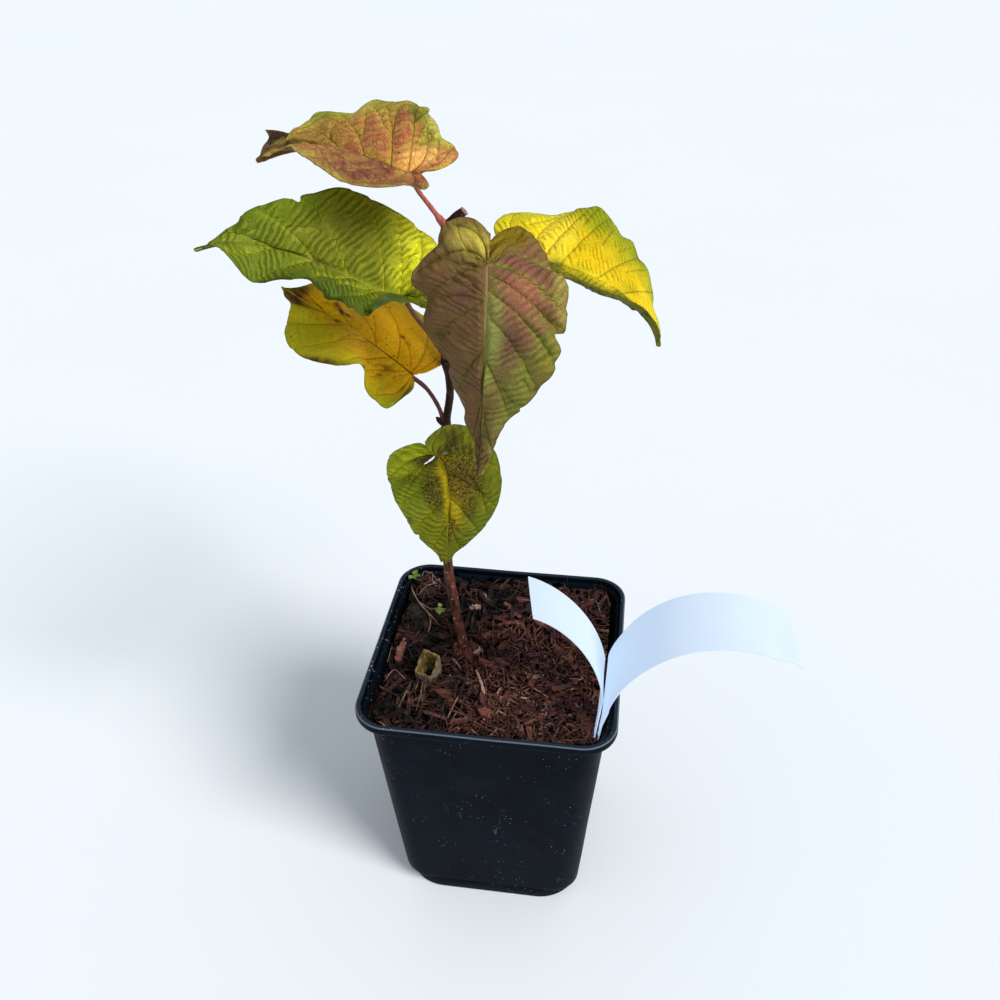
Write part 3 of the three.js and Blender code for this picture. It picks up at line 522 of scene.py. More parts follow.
        panel="#777a18", rib="#949018", margin="#646e18", under="#70823a", mid="#b09a10",
        veinTone=(1.35, 1.2, 0.9), veinDark=0.55, rungShading=0.4, rungDark=0.12, net=0.3,
        speckle="#3a2a10",
        lean=22, dotGate=0.5, rimTone="#4d5a16",
        forks=[
            (-1, (0.35, 0.08), (0.41, 0.25), (0.46, 0.45), (0.55, 0.85)),
            (-1, (0.34, 0.09), (0.37, 0.3), (0.38, 0.85)), (1, (0.35, 0.25), (0.43, 0.56), (0.5, 0.85)),
            (1, (0.7, 0.05), (0.7, 0.34), (0.72, 0.72)), (-1, (0.71, 0.09), (0.71, 0.44), (0.68, 0.8)),
            (1, (0.12, 0.2), (0.15, 0.4), (0.18, 0.71), (0.23, 0.9)),
        ],
        stains=[
            (1, 0.56, 0.03, 0.3, 0.12, "#a8900c", 0.85), (-1, 0.56, 0.03, 0.3, 0.16, "#b0960c", 0.85),
            (-1, 0.46, 0.3, 0.1, 0.36, "#6a5420", 0.9), (1, 0.53, 0.3, 0.1, 0.14, "#66581c", 0.8),
            (1, 0.15, 0.6, 0.12, 0.5, "#9caa20", 0.85), (-1, 0.82, 0.5, 0.2, 0.9, "#54560a", 0.8),
            (1, 0.8, 0.5, 0.18, 0.9, "#58580c", 0.7), (-1, 0.62, 0.25, 0.12, 0.3, "#a08a14", 0.8),
            (-1, 0.315, 0.2, 0.009, 0.05, "#cfd2c4", 0.85), (1, 0.315, 0.18, 0.075, 0.26, "#2e2410", 0.9),
            (-1, 0.29, 0.4, 0.03, 0.4, "#33230f", 0.9), (-1, 0.24, 0.72, 0.025, 0.2, "#35250f", 0.8),
            (-1, 0.19, 0.7, 0.02, 0.2, "#3c2a12", 0.6), (-1, 0.69, 0.44, 0.012, 0.06, "#35250f", 0.9),
            (-1, 0.68, 0.28, 0.012, 0.05, "#35250f", 0.8), (-1, 0.08, 0.6, 0.1, 0.6, "#848a20", 0.7),
            (1, 0.5, 0.75, 0.12, 0.5, "#5f7018", 0.6), (-1, 0.6, 0.85, 0.24, 0.4, "#5c6416", 0.75),
            (1, 0.59, 0.93, 0.015, 0.05, "#2e200f", 0.9), (-1, 0.95, 0.5, 0.03, 1, "#7c5a1c", 0.7),
            (1, 0.28, 0.8, 0.12, 0.4, "#9aa41c", 0.8), (1, 0.5, 0.9, 0.1, 0.2, "#808c1c", 0.6),
        ],
        specks=[(-1, 0.46, 0.3, 0.11, 0.4, 1.3), (-1, 0.36, 0.3, 0.06, 0.4, 1.1),
                (1, 0.53, 0.3, 0.12, 0.2, 1), (1, 0.27, 0.2, 0.06, 0.3, 0.8),
                (-1, 0.76, 0.15, 0.08, 0.25, 0.8), (1, 0.42, 0.6, 0.04, 0.3, 0.5),
                (-1, 0.58, 0.5, 0.06, 0.2, 0.8)],
    ),
    "leaf_right": dict(
        petiole=[(-12.6, 4.9, 253), (-6, 3, 249), (5, -2, 249.5)],
        midrib=[(15, -7, 250), (25, -9, 248), (45, -7, 242), (48, 8, 219)],
        face=[(5, 73), (20, 51)], half=[27, 17], notch=[0.2, 0.2], fold=[1, 13], turn=[-6, 36],
        lobe=[8, 10], back=[0.33, 0.14], widest=[0.19, 0.19],
        bites=[(-1, 0.27, 0.04, 0.05), (-1, 0.64, 0.08, 0.06), (-1, 0.42, 0.06, -0.04), (-1, 0.93, 0.04, 0.4),
               (1, 0.93, 0.04, 0.4), (1, 0.45, 0.1, -0.41), (1, 0.62, 0.1, 0.26)],
        flares=[(1, 0.18, 0.1, 62), (1, 0.5, 0.14, 1), (1, 0.7, 0.12, 36), (1, 0.85, 0.07, 65),
                (-1, 0.3, 0.05, -10)],
        hems=[(1, 0.424, 0.292, 0.72, 169)],
        scallops=[(-1, 0.15, 0.04, -0.05), (-1, 0.315, 0.025, -0.13), (-1, 0.47, 0.02, -0.03),
                  (-1, 0.55, 0.015, -0.04), (-1, 0.59, 0.015, 0.05), (-1, 0.73, 0.02, 0.03),
                  (-1, 0.82, 0.05, -0.14), (1, 0.82, 0.04, -0.08)],
        lifts=[(-1, 0.3, 0.03, -0.9), (-1, 0.42, 0.03, 1.0), (-1, 0.52, 0.02, -0.8), (-1, 0.62, 0.03, 0.9),
               (-1, 0.72, 0.03, -0.8)],
        ribs=[[0.1, 0.2, 0.29, 0.385, 0.55, 0.67, 0.79], [0.1, 0.2, 0.3, 0.42, 0.55, 0.68, 0.8]],
        puff=1.1, rungs=0.27, pitch=1.55, teeth=(18, 0.02), ribShare=(0.0, 0.35), rimStart=0.82,
        # under is the leaf's own underside green with painted shade, darker for the folded near half that
        # lies in shade
        panel="#efd218", rib="#f4e22a", margin="#a3a31a", under="#3c3f08", mid="#8d7a1c",
        veinTone=(0.6, 0.54, 0.6), veinDark=0.7, rungShading=0.16, rungDark=0.42, net=0.2,
        lean=24, dotGate=0.52, rimTone="#5d7a1c",
        forks=[
            (-1, (0.24, 0.66), (0.27, 0.76), (0.3, 0.92)), (-1, (0.49, 0.53), (0.49, 0.68), (0.49, 0.9)),
            (1, (0.55, 0.01), (0.56, 0.2), (0.61, 0.3)), (-1, (0.54, 0.64), (0.55, 0.79), (0.56, 0.97)),
            (-1, (0.4, 0.69), (0.41, 0.85), (0.42, 0.98)), (-1, (0.6, 0.48), (0.61, 0.69), (0.62, 0.88)),
        ],
        stains=[
            (-1, 0.5, 0.4, 0.2, 0.4, "#e2bc0c", 0.8), (-1, 0.44, 0.95, 0.11, 0.42, "#82900c", 0.95),
            (-1, 0.58, 1.0, 0.1, 0.35, "#8e9612", 0.95), (-1, 0.72, 1.0, 0.06, 0.25, "#8a9c20", 0.9),
            (-1, 0.24, 0.95, 0.1, 0.25, "#cfcc24", 0.6), (1, 0.5, 1.0, 0.5, 0.35, "#6c7a12", 0.9),
            (-1, 0.97, 0.5, 0.07, 1, "#3e4c18", 0.95), (1, 0.92, 0.5, 0.1, 1, "#4a5c1c", 0.9),
            (1, 0.15, 0.8, 0.15, 0.5, "#6c8c1e", 0.8), (-1, 0.585, 1.0, 0.02, 0.06, "#3c3c14", 0.8),
            (1, 0.36, 0.1, 0.055, 0.24, "#3a4c10", 0.97), (-1, 0.35, 0.0, 0.045, 0.07, "#42540f", 0.95),
            (1, 0.55, 0.7, 0.13, 0.5, "#5c580c", 0.9),
            (-1, 0.33, 0.4, 0.07, 0.4, "#ffe83e", 0.8), (-1, 0.66, 0.28, 0.07, 0.3, "#d6b608", 0.8),
            (1, 0.67, 0.35, 0.1, 0.4, "#5c580c", 0.85), (1, 0.46, 0.4, 0.05, 0.5, "#4e6210", 0.6),
        ],
    ),
}
leafBuild = dict(rows=172, cols=56, thickness=0.34, fanShare=0.28, veinShear=0.3, groove=0.26,
                 ruffle=0.45, stalkRows=130, stalkSides=14)


def sumAt(items, side, u):
    total = np.zeros_like(u)
    for s, middle, spread, amount in items:
        if s == side:
            total += amount * bell(u, middle, spread)
    return total


def midribTable(leaf):
    # the midrib's parameter in even steps, and the length so far at each
    table = np.linspace(0, 1, 201)
    spine = bezier(leaf["midrib"], table)
    return table, np.r_[0, np.cumsum(np.linalg.norm(np.diff(spine, axis=0), axis=1))]


def flatPlace(leaf, u, v, side):
    # The blade pressed flat: x out from the midrib and y along it, in mm, for u along the margin from
    # notch to drip tip and v from midrib to margin. The outline is a heart drawn on the midrib's length,
    # and the lines of one u bow a little towards the tip as side veins do.
    k = 0 if side < 0 else 1
    length, half = midribTable(leaf)[1][-1], leaf["half"][k]
    back, widest = leaf["back"][k], leaf["widest"][k]
    forward = [(0.88, 0.27), (0.64, 0.52), (0.35, 0.73), (0.12, 0.87), (0.03, 0.95), (0, 1)]
    outline = [(0, 0), (leaf["notch"][k], -0.9 * back), (0.62, -back), (0.92, -0.25 * back), (1, widest)]
    outline += [(x, widest + (1 - widest) * s) for x, s in forward]
    edge = catmull(outline, u)
    edgeX = np.maximum(edge[..., 0], 0) * half * (1 - sumAt(leaf["bites"], side, u))
    v = v * (1 - sumAt(leaf["scallops"], side, u) * v**3)
    edgeY = edge[..., 1] * length
    fan = leafBuild["fanShare"]
    ribY = np.maximum((u - fan) / (1 - fan), 0) ** 1.25 * length
    bow = 0.1 * v * (1 - v) * np.hypot(edgeX, edgeY - ribY) * np.minimum(3 * u, 1)
    return edgeX * v, ribY + (edgeY - ribY) * v - bow


def bladeSurface(leaf, u, v, side):
    # The flat place laid on the midrib: the section across it turns evenly from the fold at the midrib to the
    # margin, a hem turns it over at its crease, and the lobes behind the petiole rise by their own slope.
    k = 0 if side < 0 else 1
    table, run = midribTable(leaf)
    length, half = run[-1], leaf["half"][k]
    x, y = flatPlace(leaf, u, v, side)
    share = np.clip(y / length, 0, 1)
    t = np.interp(share * length, run, table)
    along = unit(bezierSlope(leaf["midrib"], t))
    faces = [direction(*f) for f in leaf["face"]]
    up = faces[0] * (1 - share)[:, None] + faces[1] * share[:, None]
    up = unit(up - np.sum(up * along, 1)[:, None] * along)
    right = np.cross(along, up)
    behind, slope = np.minimum(y, 0)[:, None], math.radians(leaf["lobe"][k])
    point = bezier(leaf["midrib"], t) + behind * (along * math.cos(slope) + up * math.sin(slope))
    turn = np.radians(leaf["turn"][k] + sumAt(leaf["flares"], side, u)) * (x / half)
    way = (np.arange(40) + 0.5) / 40  # the sum of small steps from the midrib out
    angle = math.radians(leaf["fold"][k]) + turn[:, None] * way
    for ownSide, middle, spread, crease, degrees in leaf.get("hems", []):
        if ownSide == side:
            folded = smoothStep(v[:, None] * way, crease - 0.07, crease + 0.07)
            angle = angle + np.radians(degrees * bell(u, middle, spread))[:, None] * folded
    level, rise = np.cos(angle).mean(1), np.sin(angle).mean(1)
    return point + right * (side * x * level)[:, None] + up * (x * rise)[:, None]


def veinPlace(leaf, u, v, side):
    # counts the side veins passed on the way from the notch to the tip; the veins run on towards the tip
    shear = leafBuild["veinShear"] * np.maximum(0.72 - u, 0) * smoothStep(u, 0, 0.3)
    ribs = leaf["ribs"][0 if side < 0 else 1]
    marks = np.arange(1, len(ribs) + 1)
    return np.interp(u - shear * v, [0] + ribs + [1], np.r_[0.3, marks, len(ribs) + 0.6])


def forkGap(leaf, x, y, side):
    # mm on the flat blade to the nearest branch vein: the least distance to the steps of smooth lines
    gap = np.full(x.shape, 9.0)
    for ownSide, *marks in leaf["forks"]:
        if ownSide != side:
            continue
        line = catmull(marks, np.linspace(0, 1, 8 * len(marks)))
        ends = np.stack(flatPlace(leaf, line[:, 0], line[:, 1], side), 1)
        foot, step = ends[:-1], np.diff(ends, axis=0)
        away = np.stack([x, y], 1)[:, None] - foot
        share = np.clip((away * step).sum(2) / np.maximum((step * step).sum(1), 1e-9), 0, 1)
        gap = np.minimum(gap, np.linalg.norm(away - share[..., None] * step, axis=2).min(1))
    return gap


def makeBlade(name, leaf, material, number):
    rows, cols = leafBuild["rows"], leafBuild["cols"]
    points, quads, fields = [], [], {}
    for side in (-1, 1):
        v, u = np.meshgrid(1 - (1 - np.linspace(0, 1, cols)) ** 1.08, np.linspace(0, 1, rows))
        if "hole" in leaf and leaf["hole"][0] == side:  # points near the tear move on to its rim
            _, hu, hv, ru, rv, slant = leaf["hole"]
            du, dv = u - hu - slant * (v - hv), v - hv
            away = np.hypot(du / ru, dv / rv)
            inside = away < 1
            corner = np.stack([inside[:-1, :-1], inside[1:, :-1], inside[1:, 1:], inside[:-1, 1:]])
            gone = corner.all(0).ravel()
            grow = np.where(inside, 1 / np.maximum(away, 0.05), 1)
            v = hv + dv * grow
            u = hu + du * grow + slant * (v - hv)
        else:
            gone = np.zeros((rows - 1) * (cols - 1), bool)
        flatU, flatV = u.ravel(), v.ravel()
        zero = np.zeros_like(flatU)
        count, depth = leaf["teeth"]
        wobble = 0.6 * softNoise(np.stack([flatU * 40, zero, zero + number], 1), 2.3, 5)
        toothAt = flatU * count + wobble
        tooth = (toothAt % 1) ** 1.6 * smoothStep(flatU, 0.04, 0.12) * smoothStep(flatU, 1, 0.93)
        scale = 0.65 + 0.5 * softNoise(np.stack([np.floor(toothAt) * 1.7, zero, zero], 1), 1, 9)
        surface = bladeSurface(leaf, flatU, flatV * (1 - depth * tooth * scale * flatV**7), side)
        grid = surface.reshape(rows, cols, 3)
        rowLength = np.linalg.norm(np.diff(grid, axis=1), axis=2).sum(1)[:, None] * np.ones((1, cols))
        q = veinPlace(leaf, flatU, flatV, side).reshape(rows, cols)
        stepLength = np.linalg.norm(np.gradient(grid, axis=0), axis=2)
        ribGap = stepLength / np.maximum(np.abs(np.gradient(q, axis=0)), 1e-4)
        x, y = flatPlace(leaf, flatU, flatV, side)
        lean = np.radians(leaf["lean"] + 28 * (1 - smoothStep(flatU, 0.12, 0.5)))
        own = {
            "ribPlace": q, "ribGap": np.clip(ribGap, 0.05, 12), "out": rowLength * v, "v": v, "u": u,
            "ladder": y * np.cos(lean) + x * np.sin(lean), "fork": forkGap(leaf, x, y, side),
            "side": np.full_like(v, side), "lift": sumAt(leaf["lifts"], side, u) * v**3,
        }
        sideQuads = gridQuads(rows, cols, start=len(points) * rows * cols)[~gone]
        quads.append(sideQuads[:, ::1 if side < 0 else -1])
        points.append(surface)
        for key, value in own.items():
            fields.setdefault(key, []).append(value.ravel())
    points, quads = np.vstack(points), np.vstack(quads)
    f = {key: np.concatenate(value) for key, value in fields.items()}

    # relief: puffed panels between the side veins, ladder rungs across them, sunk veins and a soft ruffle
    across = np.abs(np.sin(math.pi * f["ribPlace"]))
    fromRib = np.abs(f["ribPlace"] - np.round(f["ribPlace"])) * f["ribGap"]
    width = np.minimum(f["ribGap"] / 6, 1)
    inner = smoothStep(f["v"], 0, 0.12) * (1 - 0.6 * smoothStep(f["v"], 0.8, 1))
    zero = np.zeros_like(f["out"])
    panelSeed = np.stack([np.floor(f["ribPlace"]) * 7 + f["side"] * 3, zero, zero + number], 1)
    bend = softNoise(points, 6, 21 + number) * 0.55 + softNoise(points, 2.2, 23 + number) * 0.22
    rung = f["ladder"] / leaf["pitch"] + 0.7 * softNoise(panelSeed, 1, 31) + bend
    f["rung"] = rung
    ladder = np.abs(np.sin(math.pi * rung)) ** 0.8 - 0.6
    uneven = 0.7 + 0.5 * softNoise(points, 5, 37 + number)
    broken = smoothStep(softNoise(points, 2.6, 39 + number), -0.55, 0.1)
    f["broken"] = broken
    height = leaf["puff"] * width * inner * across**0.6 * uneven
    rungShare = inner * np.minimum(across, 0.7) * smoothStep(f["out"], 0.5, 2.5) * broken
    height += leaf["rungs"] * ladder * rungShare
    height -= 0.45 * leaf["puff"] * np.exp(-((f["fork"] / 0.75) ** 2)) * inner
    height -= leafBuild["groove"] * np.exp(-((fromRib / 0.42) ** 2)) * inner * (1 - 0.7 * f["v"])
    height -= 0.25 * np.exp(-((f["out"] / 0.5) ** 2))
    ripple = softNoise(np.stack([f["u"] * 16, f["v"] * 2, f["side"] * 5 + number], 1), 1, 41)
    height += leafBuild["ruffle"] * ripple * f["v"] ** 2 + f["lift"]
    height += 0.09 * softNoise(points, 1.1, 51 + number) * smoothStep(f["v"], 0, 0.1)

    sheet, tris, raw = weld(points, quads)
    normals = vertexNormals(sheet, tris)
    keep = np.zeros(len(sheet), int)
    keep[tris.ravel()] = raw.ravel()
    sheet = sheet + normals * height[keep][:, None]

    # the sheet gets its thickness, and a wall of two triangles for each edge of its rim
    normals = vertexNormals(sheet, tris)
    reach = leafBuild["thickness"] / 2 * (1 - 0.35 * f["v"][keep])[:, None]
    total = len(sheet)
    ends = np.vstack([tris[:, [0, 1]], tris[:, [1, 2]], tris[:, [2, 0]]])
    rawEnds = np.vstack([raw[:, [0, 1]], raw[:, [1, 2]], raw[:, [2, 0]]])
    _, index, counts = np.unique(np.sort(ends, 1), axis=0, return_inverse=True, return_counts=True)
    rim = counts[index.reshape(-1)] == 1
    a, b = ends[rim].T
    ra, rb = rawEnds[rim].T
    slab = np.vstack([sheet + normals * reach, sheet - normals * reach])
    wall = [np.stack([b, a, a + total], 1), np.stack([b, a + total, b + total], 1)]
    faces = np.vstack([tris, tris[:, ::-1] + total] + wall)
    corner = np.vstack([raw, raw[:, ::-1], np.stack([rb, ra, ra], 1), np.stack([rb, ra, rb], 1)]).ravel()
    below = np.zeros(faces.shape)
    below[len(tris):2 * len(tris)] = 1
    below[2 * len(tris):] = 0.5
    layers = {key: f[key][corner] for key in ("ribPlace", "ribGap", "out", "rung", "v", "fork", "broken")}
    layers["below"] = below.ravel()
    layers["tint"] = leafTint(leaf, f, across, points, number)[corner]
    layers["speckle"] = leafSpeckle(leaf, f)[corner]
    return makeMesh(name, slab, faces, material, layers)


def leafTint(leaf, f, across, points, number):
    # rib colour beside the veins, panel colour between them, the margin's colour outwards, then the stains
    rib, panel, margin = (np.array(linear(leaf[key])) for key in ("rib", "panel", "margin"))
    cloud = softNoise(points, 3.2, 61 + number)
    low, high = leaf["ribShare"]
    share = smoothStep(across + 0.22 * cloud, low, high) * smoothStep(f["v"] + 0.05 * cloud, 0, 0.12)
    share = share * (1 - 0.75 * np.exp(-((f["fork"] / 1.1) ** 2)))
    tint = rib + (panel - rib) * share[:, None]
    rim = (0.85 * smoothStep(f["v"] + 0.12 * cloud, leaf["rimStart"], 1.05))[:, None]
    tint = tint + (margin - tint) * rim
    for side, u, v, reachU, reachV, colour, strength in leaf["stains"]:
        away = ((f["u"] - u) / reachU) ** 2 + ((f["v"] - v) / reachV) ** 2
        weight = strength * np.exp(-((away * (1 + 0.5 * cloud)) ** 1.5))
        weight = (weight * np.where(f["v"] < 0.02, 1, f["side"] == side))[:, None]
        tint = tint + (np.array(linear(colour)) - tint) * weight
    return tint


def leafSpeckle(leaf, f):
    total = np.zeros_like(f["u"])
    for side, u, v, reachU, reachV, strength in leaf.get("specks", []):
        near = np.exp(-(((f["u"] - u) / reachU) ** 2 + ((f["v"] - v) / reachV) ** 2))
        total = np.maximum(total, strength * near * (f["side"] == side))
    return total


def leafMaterial(name, leaf):
    made, tree, where, shader = newMaterial(name)
    tint = attribute(tree, "tint", "Color")
    ribPlace, gap = attribute(tree, "ribPlace"), attribute(tree, "ribGap")
    rung, v, out = attribute(tree, "rung"), attribute(tree, "v"), attribute(tree, "out")

    # lines along the side veins, their branches, the midrib, the rungs and the net between them
    sway = calc(tree, "SUBTRACT", noise(tree, where, 420, 2), 0.5)
    toRib = toWhole(tree, calc(tree, "ADD", ribPlace, times(tree, sway, 0.07)))
    toRib = calc(tree, "DIVIDE", times(tree, toRib, gap), between(tree, v, 0.0, 1.0, 0.42, 0.2))
    ribLine = times(tree, between(tree, toRib, 1.0, 0.3), between(tree, v, 1.0, 0.8, 0.2, 1.0))
    forkLine = between(tree, attribute(tree, "fork"), 0.4, 0.12, 0.0, 0.9)
    midLine = between(tree, out, 0.5, 0.18)
    toRung = toWhole(tree, calc(tree, "ADD", rung, times(tree, sway, 0.4)))
    outside = times(tree, between(tree, out, 0.5, 2.0), attribute(tree, "broken"))
    rungLine = times(tree, between(tree, toRung, 0.13, 0.02, 0.0, leaf["rungDark"]), outside)
    crest = between(tree, toRung, 0.03, 0.4)
    netEdge = between(tree, cells(tree, where, 640, "DISTANCE_TO_EDGE"), 0.1, 0.0, 0.0, leaf["net"])
    fineNet = between(tree, cells(tree, where, 1500, "DISTANCE_TO_EDGE"), 0.14, 0.0, 0.0, 0.5 * leaf["net"])
    lines = highest(tree, ribLine, forkLine, rungLine, netEdge, fineNet)

    # the tint with mottling, grain, painted shade and highlight on the rungs, veins, rim and dots
    mottle = noise(tree, where, 260, 5, 0.6)
    shade = blendColour(tree, between(tree, mottle, 0.42, 0.72, 0.0, 0.35), tint, linear(leaf["margin"]))
    fine = noise(tree, where, 1900, 4, 0.65)
    shade = blendColour(tree, 1.0, shade, node(tree, "ShaderNodeCombineColor", {
        0: between(tree, fine, 0.25, 0.75, 0.74, 1.26), 1: between(tree, fine, 0.25, 0.75, 0.76, 1.22),
        2: between(tree, fine, 0.25, 0.75, 0.7, 1.15)}).outputs[0], "MULTIPLY")
    # painted shade and highlight: the rungs' crests are lighter and their valleys darker
    tone = times(tree, outside, leaf["rungShading"])
    ladder = calc(tree, "ADD", 1.0, times(tree, calc(tree, "SUBTRACT", crest, 0.6), tone))
    shade = blendColour(tree, 1.0, shade, ladder, "MULTIPLY")
    veined = blendColour(tree, 1.0, shade, leaf["veinTone"] + (1.0,), "MULTIPLY")
    shade = blendColour(tree, times(tree, lines, leaf["veinDark"]), shade, veined)
    shade = over(tree, times(tree, midLine, 0.85), shade, leaf["mid"])
    shade = over(tree, between(tree, v, 0.975, 1.0, 0.0, 0.5), shade, leaf["rimTone"])
    gate = leaf["dotGate"]
    spots = times(tree, between(tree, cells(tree, where, 330), 0.12, 0.06),
                  between(tree, noise(tree, where, 90, 2), gate, gate + 0.06))
    shade = over(tree, times(tree, spots, 0.85), shade, "#2a180c")
    if "speckle" in leaf:
        grain = between(tree, noise(tree, where, 1700, 4, 0.75), 0.4, 0.54, 0.0, 1.0)
        spread = times(tree, between(tree, attribute(tree, "speckle"), 0.15, 0.6, 0.0, 0.95),
                       between(tree, crest, 0.0, 0.5, 0.35, 1.0))
        shade = over(tree, times(tree, grain, spread), shade, leaf["speckle"])
    pale = blendColour(tree, 0.7, tint, linear(leaf["under"]))
    pale = blendColour(tree, times(tree, lines, 0.3), pale, linear("#a9ad6c"))
    shade = blendColour(tree, between(tree, attribute(tree, "below"), 0.4, 0.6), shade, pale)
    coat(tree, shader, shade, between(tree, mottle, 0.2, 0.8, 0.46, 0.66), 0.09)
    relief = calc(tree, "SUBTRACT", times(tree, fine, 0.3), times(tree, lines, 0.7))
    ridge = times(tree, crest, times(tree, outside, 2.5 * leaf["rungs"]))
    relief = calc(tree, "ADD", relief, ridge)
    bump(tree, shader, relief, 0.9, 0.0004)
    return made


def stalkMaterial(name, colour, tone):
    made, tree, where, shader = newMaterial(name)
    streak = stretched(tree, where, (900, 900, 120))
    shade = twoTone(tree, noise(tree, streak, 1, 4), 0.3, 0.7, colour, tone)
    coat(tree, shader, shade, between(tree, noise(tree, where, 700), 0.2, 0.8, 0.35, 0.55), 0.3)
    bump(tree, shader, noise(tree, streak, 1.5, 5), 0.35, 0.0002)
    return made


def ribRoute(leaf):
    # the petiole's points, then points just under the midrib
    table, run = midribTable(leaf)
    share = np.array([0.0, 0.06, 0.16, 0.3, 0.45, 0.6, 0.75, 0.88, 0.97])
    t = np.interp(share * run[-1], run, table)
    base, tip = (direction(*face) for face in leaf["face"])
    up = unit(base * (1 - share)[:, None] + tip * share[:, None])
    sink = np.interp(share, [0, 0.06, 0.2, 1], [1.1, 1.05, 0.9, 0.55])[:, None]
    return leaf["petiole"], bezier(leaf["midrib"], t) - up * sink


stalks = {
    "leaf_top": ("#c66e66", "#a04c44"),
    "leaf_left": ("#7d4a2c", "#5c3422"),
    "leaf_yellow": ("#6e2f34", "#4c2026"),
    "leaf_front": ("#8d6f4c", "#6d5038"),
    "leaf_small": ("#6b4a28", "#4e3a1c"),
    "leaf_right": ("#96702c", "#b08f30"),
}
for number, (name, leaf) in enumerate(leaves.items()):
    blade = makeBlade(name + "_blade", leaf, leafMaterial(name + "_skin", leaf), number)
    place(blade, name, name)
    petiole, under = ribRoute(leaf)
    path = route(list(petiole) + list(under), leafBuild["stalkRows"])
    run = np.linspace(0, 1, len(path))
    steps = np.diff(np.array(list(petiole) + [under[0]]), axis=0)
    start = np.linalg.norm(steps, axis=1).sum()  # the petiole's share of the length
    start /= np.linalg.norm(np.diff(path, axis=0), axis=1).sum()
    radii = np.interp(run, [0, 0.05, 0.2 * start, 0.5 * start, start, start + 0.15, 0.8, 0.99, 1],
                      [1.3, 1.1, 0.76, 0.66, 0.74, 0.55, 0.36, 0.14, 0])
    radii[0] = 0
    stalk = softNoise(np.stack([run * 60, run * 0, run * 0 + number], 1), 1, 61)[:, None] * 0.04
    sides = leafBuild["stalkSides"]
    points, quads = tube(path, radii, sides, np.repeat(stalk, sides, 1), guide=(0.2, 1, 0.1))
    place(gridPiece(name + "_stalk", points, quads, stalkMaterial(name + "_stalk", *stalks[name])), name)
print("leaves made")

# stem
stem = dict(
    route=[(-13.4, 1.4, 62), (-13.6, 1.6, 95), (-16.2, 3.6, 112), (-18.4, 4.1, 135), (-17.6, 4.2, 162),
           (-16.8, 4.3, 188), (-15, 4.6, 202), (-15.7, 4.5, 214), (-15, 4.6, 232), (-14.3, 4.7, 251),
           (-11.8, 5, 256), (-8.9, 5.5, 258.5)],
    radii=[(62, 1.2), (70, 2.1), (87, 2.4), (92, 2.9), (94.5, 3.1), (97, 2.3), (101, 1.9), (112, 1.9),
           (135, 1.8), (160, 1.6), (178, 1.5), (182, 2.1), (185, 1.7), (188, 2), (192, 1.4), (208, 1.3),
           (212, 2), (216, 1.4), (232, 1.2), (248, 1.3), (253, 2.1), (257, 1.6), (258.5, 1.4)],
    buds=[(184, 60), (190, 200), (214.5, 20), (251, 100)],
    stations=520, sides=32, slim=0.92,
)


def stemMaterial():
    made, tree, where, shader = newMaterial("stemBark")
    height = axes(tree, where)[2]
    streak = stretched(tree, where, (1100, 1100, 150))
    fibre = noise(tree, streak, 1, 5)
    upper = twoTone(tree, fibre, 0.35, 0.7, "#160a07", "#36190f")
    lower = twoTone(tree, fibre, 0.3, 0.65, "#1c0d0a", "#66392a")
    shade = blendColour(tree, between(tree, height, 0.185, 0.12), upper, lower)
    pores = between(tree, cells(tree, where, 560), 0.3, 0.12)
    pores = times(tree, pores, between(tree, height, 0.16, 0.125, 0.15, 0.85))
    pores = times(tree, pores, between(tree, noise(tree, where, 260, 3), 0.42, 0.56))
    shade = over(tree, pores, shade, "#b67e68")
    coat(tree, shader, shade, between(tree, noise(tree, where, 500), 0.2, 0.8, 0.45, 0.75), 0.2)
    bump(tree, shader, noise(tree, streak, 1.4, 6, 0.65), 0.8, 0.0005)
    return made


def stemSpot(height):
    path = route(stem["route"], stem["stations"])
    return path[np.argmax(path[:, 2] >= height)]


stemPath = route(stem["route"], stem["stations"])
stemZ, stemR = np.array(stem["radii"]).T
run = np.linspace(0, 1, len(stemPath))
radii = np.interp(stemPath[:, 2], stemZ, stemR) * stem["slim"]
radii[[0, -1]] = 0
turn = np.linspace(0, 2 * math.pi, stem["sides"], endpoint=False)
cylinder = np.stack(np.broadcast_arrays(
    3 * np.cos(turn)[None], 3 * np.sin(turn)[None], stemPath[:, 2][:, None]), -1)
rough = smoothStep(stemPath[:, 2], 175, 100)[:, None]
barkRelief = 0.09 * softNoise(cylinder * (1, 1, 0.16), 1.1, 71) + 0.05 * softNoise(cylinder, 0.8, 72)
barkRelief += rough * (0.26 * softNoise(cylinder * (1, 1, 0.3), 1.3, 73) + 0.2 * softNoise(cylinder, 0.6, 74))
points, quads = tube(stemPath, radii, stem["sides"], barkRelief)
bark = stemMaterial()
place(gridPiece("stem_bark", points, quads, bark), "stem", "stem")


def spindle(foot, axis, length, widest, bend=0.0, sides=16, rows=20):
    # a pointed oval body: the radius is widest * sin(pi s^0.7)^0.85 round an axis that bends up by bend * s^2
    s = np.linspace(0, 1, rows)
    line = foot + unit(np.asarray(axis, float)) * (s * length)[:, None]
    line = line + np.array([0, 0, 1]) * (bend * s * s)[:, None]
    return tube(line, widest * np.sin(math.pi * s**0.7) ** 0.85, sides, guide=(0.3, 0.2, 1))


